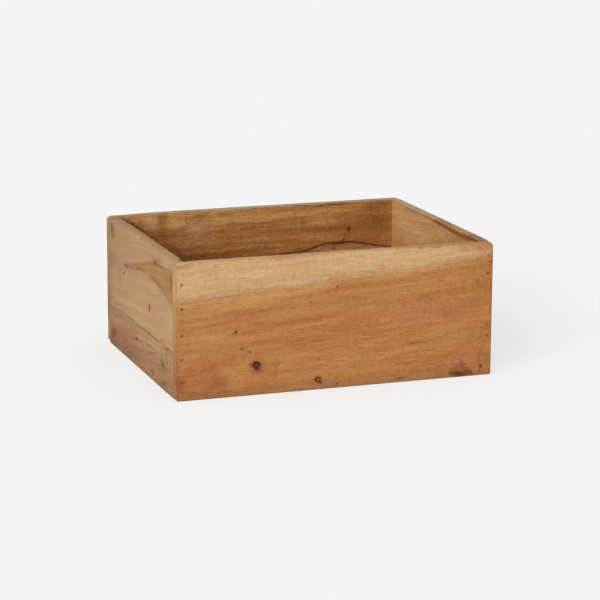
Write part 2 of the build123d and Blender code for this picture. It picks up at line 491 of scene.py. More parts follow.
def worn_board(node, along, out, wood, wear, nails=(), hollows=(), chips=(), loose_chips=9):
    """Makes the worn board that stands for a CAD board.

    along and out say how the board lies, and wear holds inputs of the worn board tree. nails are the
    CAD nodes of the nails in its outer face. hollows are (x, down, reach) in millimetres from its
    upper left corner, seen from outside, and chips are (place in the box, reach), also in millimetres.
    """
    low, high = (Vector(corner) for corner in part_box(node))
    turn = turn_to(along, out)
    to_board = turn.transposed()
    centre = (low + high) / 2
    half = Vector([abs(side) for side in to_board @ ((high - low) / 2)])
    marks = []
    for group in nails:
        for head in nail_heads(group, out):
            local = to_board @ (head - centre)
            if abs(local.x) < half.x and abs(local.y) < half.y:
                marks.append((Vector((local.x, local.y, half.z)), NAIL_SINK))
    for x, down, reach in hollows:
        local = Vector((x * MM - half.x, half.y - down * MM, half.z))
        marks.append((local, [side * MM for side in reach]))
    missing = edge_chips(half, loose_chips, wear["Seed"])
    for place, reach in chips:
        local = to_board @ (Vector(place) * MM - centre)
        size = [abs(side) * MM for side in to_board @ Vector(reach)]
        missing.append((local, size))
    blank = sawn_blank(node + "_blank", half)
    on_face = [(place, (reach[0], reach[1], 0.0)) for place, reach in marks]
    # Each round is (how many times the reach, how many cuts)
    refine(blank, on_face, ((2.2, 3), (1.4, 1)))
    refine(blank, missing, ((1.15, 2),))
    # The tree looks for the nearest mark, so a board that has none is given one out of reach
    far_away = [(Vector((0, 0, 1)), (MM, MM, MM))]
    clouds = {
        "Hollows": point_cloud(node + "_hollows", marks or far_away),
        "Chips": point_cloud(node + "_chips", missing or far_away),
    }
    settings = {
        "Half size": half,
        "Low start corner": 0.0,
        "Low end corner": 0.0,
        "High end corner": 0.0,
        "High start corner": 0.0,
        "Side wear": 1.2 * MM,
        "Rim wear": 1.3 * MM,
        "Foot wear": 0.8 * MM,
        "Inner rim wear": 0.8 * MM,
        "Inner share": 0.6,
        "Unevenness": 0.9,
        "Warp": 0.5 * MM,
        "Rim wave": 0.7 * MM,
        "Start drop": 0.0,
        "End drop": 0.0,
        "Nick depth": 0.3 * MM,
        "Wood": wood,
    }
    board = shape_with(worn_board_tree, "worn_" + node, blank, settings | clouds | wear)
    for cloud in clouds.values():
        bpy.data.objects.remove(cloud)
    board.data.transform(Matrix.Translation(centre) @ turn.to_4x4())
    return board


def make_grain_group():
    """Solid wood: rings round a pith, fibres, pores and slow clouds. Lengths are in millimetres.

    Each noise has its own length along the board, across it and into it.
    """
    inputs = {"Place": "Vector", "Pith across": "Float", "Pith depth": "Float", "Ring width": "Float"}
    inputs |= {"Slope": "Float", "Seed": "Float"}
    outputs = {title: "Float" for title in ("Rings", "Fibre", "Pores", "Cloud", "Mottle", "Bands")}
    w, given, out = new_tree("ShaderNodeTree", "wood_grain", inputs, outputs)
    place, seed = given["Place"], given["Seed"]
    x, y, z = w.split(place)
    furthest_drift = 9.0
    drift = w.less(w.grain_noise(place, (110, 34, 34), 2.0, 0.5, seed), 0.5)
    drift = w.times(drift, furthest_drift)
    straight = w.join(x, w.less(w.add(y, drift), w.times(x, given["Slope"])), z)
    to_pith = w.vector("SUBTRACT", straight, w.join(0.0, given["Pith across"], given["Pith depth"]))
    distance = w.vector("LENGTH", w.vector("MULTIPLY", to_pith, (0.0, 1.0, 1.0)))
    ring_length = 120.0
    ring_place = w.join(w.over(distance, given["Ring width"]), w.over(x, ring_length), 0.0)
    rings = w.noise(ring_place, detail=4.0, roughness=0.62, seed=seed)
    w.feed(out["Rings"], w.ease(rings, 0.3, 0.7))
    w.feed(out["Fibre"], w.grain_noise(straight, (22, 1.1, 1.1), 3.0, 0.62, w.add(seed, 2.0)))
    pores = w.grain_noise(straight, (4.5, 0.42, 0.42), 0.0, 0.5, w.add(seed, 4.0))
    w.feed(out["Pores"], w.ease(pores, 0.62, 0.74))
    w.feed(out["Cloud"], w.grain_noise(straight, (40, 13, 13), 3.0, 0.6, w.add(seed, 6.0)))
    w.feed(out["Mottle"], w.grain_noise(place, (4.5, 3.6, 3.6), 3.0, 0.7, w.add(seed, 8.0)))
    w.feed(out["Bands"], w.grain_noise(straight, (9, 38, 38), 2.0, 0.6, w.add(seed, 10.0)))
    return w.tree


def spread_from(w, given):
    """The way from a mark's centre, also turned and in steps of the mark's own size."""
    away = w.vector("MULTIPLY", w.vector("SUBTRACT", given["Place"], given["Centre"]), (1, 1, 0))
    turning = {"Vector": away, "Angle": given["Turn"]}
    turned = w.node("ShaderNodeVectorRotate", turning, rotation_type="Z_AXIS")
    return away, w.vector("DIVIDE", turned.outputs[0], given["Size"])


def make_knot_group():
    """A knot through the board: its core, dark ring, stained halo, and the grain bent round it."""
    inputs = {"Place": "Vector", "Flow": "Vector", "Centre": "Vector", "Size": "Vector"}
    inputs |= {"Turn": "Float", "Bend": "Float"}
    outputs = {"Flow": "Vector", "Core": "Float", "Ring": "Float", "Halo": "Float", "Rays": "Float"}
    w, given, out = new_tree("ShaderNodeTree", "knot", inputs, outputs)
    away, spread = spread_from(w, given)
    # Each part begins and ends at a multiple of the knot's own half size
    distance = w.vector("LENGTH", spread)
    w.feed(out["Core"], w.ease(distance, 1.14, 0.68))
    w.feed(out["Ring"], w.times(w.ease(distance, 0.4, 0.8), w.ease(distance, 1.3, 0.85)))
    w.feed(out["Halo"], w.ease(distance, 2.8, 0.95))
    rays = w.noise(w.vector("NORMALIZE", spread), scale=4.0, detail=3.0, roughness=0.6)
    w.feed(out["Rays"], rays)
    away_x, away_y, _ = w.split(away)
    size_x, size_y, _ = w.split(given["Size"])
    # The grain bends over this many times the knot's own half size
    bend_along, bend_across = 3.4, 2.2
    along = w.over(away_x, w.times(size_x, bend_along))
    across = w.over(away_y, w.times(size_y, bend_across))
    square = w.add(w.times(along, along), w.times(across, across), 1.0)
    shift = w.times(away_y, w.over(given["Bend"], square), -1.0)
    w.feed(out["Flow"], w.moved(given["Flow"], w.join(0.0, shift, 0.0)))
    return w.tree


def pass_on(w, place, mask):
    """The place for the next mark, a hair further down where this mark is.

    So each mark waits for the one before it. The renderer has room for about 150 that don't.
    """
    hair = -0.01
    return w.moved(place, w.join(0.0, w.times(mask, hair), 0.0))


def make_patch_group():
    """An oval patch of another colour, from crisp at softness 0.3 to a faint cloud at 1."""
    inputs = {"Place": "Vector", "Centre": "Vector", "Size": "Vector", "Turn": "Float", "Softness": "Float"}
    w, given, out = new_tree("ShaderNodeTree", "patch", inputs, {"Mask": "Float", "Place": "Vector"})
    distance = w.vector("LENGTH", spread_from(w, given)[1])
    soft = given["Softness"]
    mask = w.ease(distance, w.add(1.0, soft), w.less(1.0, soft))
    w.feed(out["Mask"], mask)
    w.feed(out["Place"], pass_on(w, given["Place"], mask))
    return w.tree


def make_line_group():
    """A line along the grain: full on its own level, fading across it and at its two ends."""
    inputs = {"Place": "Vector", "Level": "Float", "Start": "Float", "End": "Float", "Width": "Float"}
    w, given, out = new_tree("ShaderNodeTree", "grain_line", inputs, {"Mask": "Float", "Place": "Vector"})
    x, y, _ = w.split(given["Place"])
    thinnest, thickest = 0.6, 1.3
    swell = w.ease(w.noise(w.join(x, 0.0, 0.0), scale=0.09), 0.3, 0.7, thinnest, thickest)
    off = w.over(w.less(y, given["Level"]), w.times(given["Width"], swell))
    body = w.math("POWER", math.e, w.times(off, off, -1.0))
    fade_share, longest_fade = 0.3, 14.0
    length = w.less(given["End"], given["Start"])
    fade = w.math("MINIMUM", w.times(length, fade_share), longest_fade)
    start = w.ease(x, given["Start"], w.add(given["Start"], fade))
    end = w.ease(x, given["End"], w.less(given["End"], fade))
    mask = w.times(body, start, end)
    w.feed(out["Mask"], mask)
    w.feed(out["Place"], pass_on(w, given["Place"], mask))
    return w.tree


grain_group = make_grain_group()
knot_group = make_knot_group()
patch_group = make_patch_group()
line_group = make_line_group()

# A curve drawn on a board can reach this far along it and down it, in millimetres
CURVE_LENGTH = 320
CURVE_HEIGHT = 140


def level_curve(w, x, points):
    """Height of a curve through points (x, down) on the board, for a socket that holds x."""
    node = w.node("ShaderNodeFloatCurve", {"Value": w.over(x, CURVE_LENGTH)})
    curve = node.mapping.curves[0]
    while len(curve.points) < len(points):
        curve.points.new(0.5, 0.5)
    for point, (along, down) in zip(curve.points, points):
        point.location = (along / CURVE_LENGTH, 1 - down / CURVE_HEIGHT)
        point.handle_type = "AUTO_CLAMPED"
    node.mapping.extend = "HORIZONTAL"
    node.mapping.update()
    return w.times(w.less(node.outputs[0], 1.0), CURVE_HEIGHT)


def place_on_board(w, along, out, origin):
    """Place in millimetres from origin: x along the board, y up across it and z out of its face."""
    turn = turn_to(along, out).transposed()
    given = {
        "Vector": w.node("ShaderNodeTexCoord").outputs["Object"],
        "Location": -(turn @ Vector(origin)) / MM,
        "Rotation": turn.to_euler(),
        "Scale": (1 / MM, 1 / MM, 1 / MM),
    }
    return w.node("ShaderNodeMapping", given).outputs["Vector"]


def lay_bands(w, colour, wood, place, tones, bands):
    """Bands in two tones of the rings, each between two curves, with edges that follow the fibres."""
    x, y, _ = w.split(place)
    least_feather, feather_share = 2.0, 0.4
    for dark, light, strength, softness, upper, lower in bands:
        pair = w.tint(wood["Rings"], tones[dark], tones[light])
        mask = strength
        feather = w.times(w.less(wood["Fibre"], 0.5), least_feather + feather_share * softness)
        level = w.add(y, feather)
        if upper:
            below = w.less(level, level_curve(w, x, upper))
            mask = w.times(mask, w.ease(below, softness / 2, -softness / 2))
        if lower:
            above = w.less(level, level_curve(w, x, lower))
            mask = w.times(mask, w.ease(above, -softness / 2, softness / 2))
        colour = w.tint(mask, colour, pair)
    return colour


def draw_lines(w, colour, wood, place, tones, lines):
    """Lines along curves, broken up by the fibres. Also gives the place for the next mark."""
    faintest = 0.5
    for tone, strength, width, points in lines:
        mark = w.group(
            line_group,
            place=place,
            level=level_curve(w, w.split(place)[0], points),
            start=float(points[0][0]),
            end=float(points[-1][0]),
            width=width,
        )
        place = mark["Place"]
        broken = w.ease(wood["Fibre"], 0.2, 0.75, faintest * strength, strength)
        colour = w.tint(w.times(mark["Mask"], broken), colour, tones[tone])
    return colour, place


def dull_ends(w, colour, place, tones, ends):
    """End grain is duller than the faces, because it drinks in wax and dirt."""
    start, end, share = ends
    begins, is_full = 1.3, 0.2
    x = w.split(place)[0]
    from_end = w.math("MINIMUM", w.less(x, start), w.less(end, x))
    return w.tint(w.ease(from_end, begins, is_full, 0.0, share), colour, tones["end"])


def lay_patches(w, colour, place, tones, patches):
    """Oval patches, each laid over the ones before. A level one has no angle, so its sum is 0."""
    for tone, strength, softness, centre_x, down, long, high, *angle in patches:
        mark = w.group(
            patch_group,
            place=place,
            centre=(centre_x, -down, 0.0),
            size=(long, high, 1.0),
            turn=math.radians(-sum(angle)),
            softness=softness,
        )
        place = mark["Place"]
        colour = w.tint(w.times(mark["Mask"], strength), colour, tones[tone])
    return colour


def lay_knots(w, colour, tones, knots):
    """Halo, core and dark ring of each knot. Also gives one mask of all the cores."""
    faintest = 0.6
    cores = 0.0
    for knot, (halo, core, ring, middle) in knots:
        colour = w.tint(w.times(knot["Halo"], halo), colour, tones["halo"])
        colour = w.tint(w.times(knot["Core"], core), colour, tones[middle])
        streaky = w.ease(knot["Rays"], 0.3, 0.6, faintest * ring, ring)
        colour = w.tint(w.times(knot["Ring"], streaky), colour, tones["knot_ring"])
        cores = w.math("MAXIMUM", cores, knot["Core"])
    return colour, cores


def vary_finely(w, colour, wood, broad, texture):
    """Fibres, pores, mottling, bands of light and dark across the grain, and slight changes of hue."""
    fibre_dark, fibre_light, pore_share, mottle_share, band_share = 0.13, 0.1, 0.18, 0.58, 0.14
    shade = w.ease(wood["Fibre"], 0.25, 0.78, 1 - fibre_dark * texture, 1 + fibre_light * texture)
    shade = w.times(shade, w.less(1.0, w.times(wood["Pores"], pore_share * texture)))
    for spots, share in ((wood["Mottle"], mottle_share), (wood["Bands"], band_share)):
        shade = w.times(shade, w.add(1.0, w.times(w.less(spots, 0.5), share * texture)))
    colour = w.tint(1.0, colour, w.join(shade, shade, shade), "MULTIPLY")
    cooler, warmer = (0.965, 1.01, 1.03, 1), (1.03, 0.985, 0.96, 1)
    hue = w.tint(w.ease(w.split(broad)[2], 0.35, 0.65), cooler, warmer)
    return w.tint(1.0, colour, hue, "MULTIPLY")


def age_surface(w, colour, cloud, place, tones):
    """The rim's top and the painted shading of its far edge, a darker foot, edges rubbed by hands, raw wood
    with painted shade in chips, and rust round nails.
    """

    def mask_of(title):
        node = w.node("ShaderNodeAttribute", attribute_name=title, attribute_type="GEOMETRY")
        return node.outputs["Fac"]

    _, y, z = w.split(place)
    on_rim = w.ease(y, -1.4, -0.4)
    far_side = w.ease(z, -4.5, -9.0)
    near_foot = w.ease(y, -118.0, -130.0)
    colour = w.tint(on_rim, colour, tones["rim"], "MULTIPLY")
    # Painted shading on the rim's far edge: painted shade on the left end, painted light on the right end's
    # outer edge, which turns away from the light
    colour = w.tint(w.times(on_rim, far_side), colour, tones["far_rim"], "MULTIPLY")
    # Darker towards the foot
    colour = w.tint(near_foot, colour, tones["foot"], "MULTIPLY")
    rub = w.times(w.ease(mask_of("worn"), 0.02, 0.5), w.ease(cloud, 0.3, 0.7, 0.5, 1.0))
    rub = w.times(rub, w.ease(y, -1.5, -6.0, 0.3, 1.0))
    colour = w.tint(rub, colour, tones["rubbed"], "MULTIPLY")
    # Chips and nicks are painted darker than raw wood: raw wood with painted shade of their hollows
    raw_wood_and_shade_share, rust_share = 0.6, 0.8
    colour = w.tint(w.times(mask_of("nick"), raw_wood_and_shade_share), colour, tones["chip"])
    return w.tint(w.times(mask_of("rusty"), rust_share), colour, tones["rust"])


def board_wood(
    name, along, out, origin, tones, grain, texture, bands=(), lines=(), patches=(), knots=(), ends=None
):
    """The wood of one board, with what grew in it and what it has met since.

    Everything is in millimetres from origin, the upper left corner of the face that it is seen from:
    x along the board and down from its upper edge. tones are its colours, grain the inputs of the
    grain group and texture how strong the fine variation is. Then come bands between two curves,
    lines along a curve, oval patches and knots, each painted over the ones before. ends gives where
    the two ends are and how far they take on the tone of end grain.

    A band is (dark tone, light tone, strength, softness, upper curve, lower curve), a line (tone,
    strength, width, curve), a patch (tone, strength, softness, x, down, half length, half height,
    and its angle where it isn't level), and a knot (middle, half size, angle, bend of the grain,
    (halo, core and ring strength, tone of the core)).
    """
    material, w = new_material(name)
    place = place_on_board(w, along, out, origin)
    # Every mark is drawn a little ragged, more along the board than across it
    raggedness = (7.0, 2.6, 0.0)
    stretched = w.vector("MULTIPLY", place, (0.12, 0.3, 0.3))
    broad = w.noise(stretched, detail=4.0, roughness=0.65, seed=grain["seed"], output="Color")
    shiver = w.vector("MULTIPLY", w.vector("SUBTRACT", broad, (0.5, 0.5, 0.5)), raggedness)
    ragged = w.moved(place, shiver)

    # The grain bends round the knots, so they are made first, though they are laid on last
    flow, made_knots = place, []
    for (centre_x, down), size, angle, bend, parts in knots:
        knot = w.group(
            knot_group,
            place=ragged,
            flow=flow,
            centre=(centre_x, -down, 0.0),
            size=(*size, 1.0),
            turn=math.radians(angle),
            bend=bend,
        )
        flow = knot["Flow"]
        made_knots.append((knot, parts))
    wood = w.group(grain_group, place=flow, **grain)
    rings, fibre, pores, cloud = (wood[title] for title in ("Rings", "Fibre", "Pores", "Cloud"))

    cloud_strength = 0.8
    colour = w.tint(rings, tones["dark"], tones["light"])
    colour = w.tint(w.ease(cloud, 0.5, 0.75, 0.0, cloud_strength), colour, tones["warm"])
    colour = w.tint(w.ease(cloud, 0.48, 0.25, 0.0, cloud_strength), colour, tones["gold"])
    colour = lay_bands(w, colour, wood, ragged, tones, bands)
    colour, ragged = draw_lines(w, colour, wood, ragged, tones, lines)
    if ends:
        colour = dull_ends(w, colour, place, tones, ends)
    colour = lay_patches(w, colour, ragged, tones, patches)
    colour, knot_cores = lay_knots(w, colour, tones, made_knots)
    colour = vary_finely(w, colour, wood, broad, texture)
    colour = age_surface(w, colour, cloud, place, tones)

    fibre_height, ring_height, pore_depth = 0.7, 0.25, 0.8
    height = w.add(w.times(fibre, fibre_height), w.times(rings, ring_height))
    height = w.less(height, w.times(pores, pore_depth))
    bump = w.node("ShaderNodeBump", {"Height": height, "Distance": 0.12 * MM, "Strength": 0.9})
    smoothest, roughest, pore_roughness, knot_polish = 0.52, 0.66, 0.12, 0.12
    roughness = w.ease(fibre, 0.2, 0.8, smoothest, roughest)
    roughness = w.add(roughness, w.times(pores, pore_roughness))
    roughness = w.less(roughness, w.times(knot_cores, knot_polish))
    given = {
        "Base Color": colour,
        "Roughness": roughness,
        "Normal": bump.outputs["Normal"],
        "Specular IOR Level": 0.12,
    }
    shader = w.node("ShaderNodeBsdfPrincipled", given)
    w.node("ShaderNodeOutputMaterial", {"Surface": shader.outputs["BSDF"]})
    return material


def finish_piece(piece, slot, *nodes):
    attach(piece, "root")
    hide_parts(*nodes)


front_low, front_high = (Vector(corner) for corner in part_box("front_board"))
front_corner = (front_low.x, front_low.y, front_high.z)
front_length = (front_high.x - front_low.x) / MM
# far_rim is painted light and shade on a rim's far edge. It is white here, so it changes nothing
age_tones = shades(
    knot=(80, 54, 38), knot_ring=(60, 28, 6), halo=(142, 84, 44), knot_pale=(136, 86, 46),
    # chip is raw wood darkened with painted shade of the chips' hollows
    far_rim=(255, 255, 255), black=(60, 30, 14), chip=(150, 104, 64), rust=(148, 92, 42),
    weathered=(186, 156, 124), foot=(231, 230, 238),
)
front_tones = age_tones | shades(
    light=(193, 134, 81), dark=(171, 109, 60), warm=(184, 119, 71), gold=(190, 136, 80),
    sap_light=(215, 177, 130), sap_dark=(200, 157, 109), end=(184, 140, 87), rim=(251, 250, 253),
    rubbed=(226, 218, 204), streak=(148, 86, 38), faint=(164, 102, 54), pale=(202, 150, 94),
    yellow=(202, 152, 94), orange=(196, 128, 58), red=(162, 90, 54), deep_red=(104, 44, 20),
    brown=(108, 54, 14), olive=(154, 108, 46), pink=(188, 128, 88), plum=(138, 82, 62),
    grey=(160, 118, 80), green=(198, 168, 118), rim_brown=(188, 136, 78), stain=(150, 104, 56),
)
front_grain = {"pith_across": -196.0, "pith_depth": -60.0, "ring_width": 7.0, "slope": 0.05, "seed": 11.0}
sap_edge = [(0, 36), (25, 35), (70, 31.5), (118, 29.8), (145, 26.8), (160, 24.6), (180, 24.4), (227, 22.4)]
sap_edge += [(280, 17.2), (320, 14)]
yellow_foot = [(0, 44), (70, 46), (118, 39), (145, 33), (180, 27), (320, 18)]
front_bands = [
    ("dark", "yellow", 0.75, 8.0, sap_edge, yellow_foot),
    ("sap_dark", "sap_light", 1.0, 15.0, None, sap_edge),
]
front_lines = [
    ("streak", 0.7, 2.6, [(60, 52), (78, 51), (95, 49), (112, 47), (128, 46)]),
    ("streak", 0.45, 2.4, [(-8, 58), (20, 56.5), (55, 52.5), (78, 51)]),
    ("streak", 0.55, 1.0, [(42, 50.5), (62, 49), (70, 48.5)]),
    ("faint", 0.7, 1.7, [(-8, 66), (20, 63), (40, 60.5), (62, 56)]),
    ("faint", 0.7, 2.2, [(56, 71), (74, 69.5), (95, 66.5), (116, 64)]),
    ("faint", 0.95, 2.4, [(90, 65.5), (120, 63.5), (150, 61), (172, 58)]),
    ("pale", 0.4, 1.4, [(84, 58), (105, 56.5), (130, 55)]),
    ("pale", 0.5, 1.3, [(70, 74), (110, 71), (150, 66), (172, 64)]),
    ("pale", 0.35, 1.2, [(0, 60.5), (25, 58.5), (45, 56)]),
    ("faint", 0.75, 0.8, [(92, 87.5), (112, 86.5), (132, 86.5)]),
    ("faint", 0.75, 0.9, [(122, 85.5), (140, 84), (156, 82.5)]),
    ("faint", 0.6, 0.9, [(100, 91), (130, 90), (152, 88.5)]),
    ("pale", 0.4, 0.9, [(90, 92.5), (110, 91.5), (126, 91)]),
    ("faint", 0.7, 1.0, [(16, 107.5), (35, 101.5), (48, 96), (62, 92)]),
    ("faint", 0.6, 2.0, [(148, 35.5), (175, 33.5), (205, 31.5), (240, 29)]),
    ("faint", 0.6, 1.6, [(230, 28.5), (255, 26.5), (280, 25.5), (300, 23)]),
    ("faint", 0.6, 3.0, [(160, 54), (200, 52), (235, 52), (272, 51)]),
    ("faint", 0.5, 2.6, [(160, 63), (190, 61.5), (220, 60.5)]),
    ("pale", 0.5, 1.6, [(152, 40.5), (185, 38.5), (220, 36.5), (262, 33)]),
    ("pale", 0.4, 1.4, [(222, 43.5), (245, 42), (270, 40.5)]),
    ("streak", 0.55, 1.7, [(156, 45.5), (178, 45.2), (196, 44.4), (215, 41)]),
    ("streak", 0.4, 1.3, [(182, 51.5), (205, 50.5), (238, 50), (262, 47)]),
    ("faint", 0.6, 1.6, [(225, 49), (250, 46), (282, 44.5), (300, 43)]),
    ("faint", 0.3, 1.3, [(120, 48), (150, 46.5), (178, 46)]),
    ("faint", 0.4, 1.4, [(178, 59), (225, 56), (262, 55)]),
    ("faint", 0.25, 1.2, [(170, 72), (205, 72), (240, 66), (300, 61)]),
    ("faint", 0.7, 0.7, [(214, 68), (219, 67.5), (224, 67.5)]),
    ("plum", 0.5, 0.6, [(272, 77), (280, 76.5), (290, 75.5)]),
    ("plum", 0.75, 1.3, [(228, 93), (240, 93.5), (248, 94.5), (257, 95)]),
    ("streak", 0.75, 0.7, [(248, 94.5), (262, 91), (275, 88), (288, 85.5), (304, 82)]),
    ("streak", 0.45, 0.7, [(156, 99.5), (170, 94.5), (186, 95), (194, 99)]),
    ("faint", 0.7, 0.7, [(163, 111.5), (176, 109.5), (190, 103.5)]),
    ("faint", 0.55, 1.0, [(175, 114), (186, 112.5), (192, 113)]),
    ("faint", 0.5, 1.2, [(158, 88), (190, 86), (230, 83), (262, 80)]),
    ("sap_dark", 0.8, 0.55, [(16, 9.2), (22, 9), (30, 8.5)]),
    ("sap_dark", 0.9, 0.5, [(26, 8.6), (50, 8.4), (78, 8.6)]),
    ("faint", 0.4, 0.5, [(18, 17.8), (45, 17.4), (72, 17.8)]),
    ("faint", 0.3, 0.5, [(160, 13.2), (170, 13.4), (180, 13.8)]),
    ("faint", 0.35, 0.4, [(248, 14.2), (258, 14), (268, 14.4)]),
    ("pink", 0.5, 1.2, [(-8, 34), (20, 34), (46, 31.5)]),
    ("faint", 0.4, 0.8, [(10, 38), (26, 37), (40, 36.5)]),
    ("faint", 0.45, 0.7, [(14, 41.5), (26, 41), (36, 41)]),
    ("green", 0.6, 2.0, [(82, 20), (120, 19), (160, 17), (200, 13)]),
    ("green", 0.5, 1.3, [(-6, 29), (14, 29), (28, 27)]),
    ("orange", 0.5, 1.0, [(30, 128), (80, 128.5), (120, 129)]),
    ("red", 0.5, 2.6, [(-6, 122), (20, 126), (40, 129)]),
    ("red", 0.35, 2.6, [(150, 122), (200, 120), (255, 121)]),
    ("orange", 0.45, 1.4, [(236, 129), (248, 128.5), (262, 129)]),
]
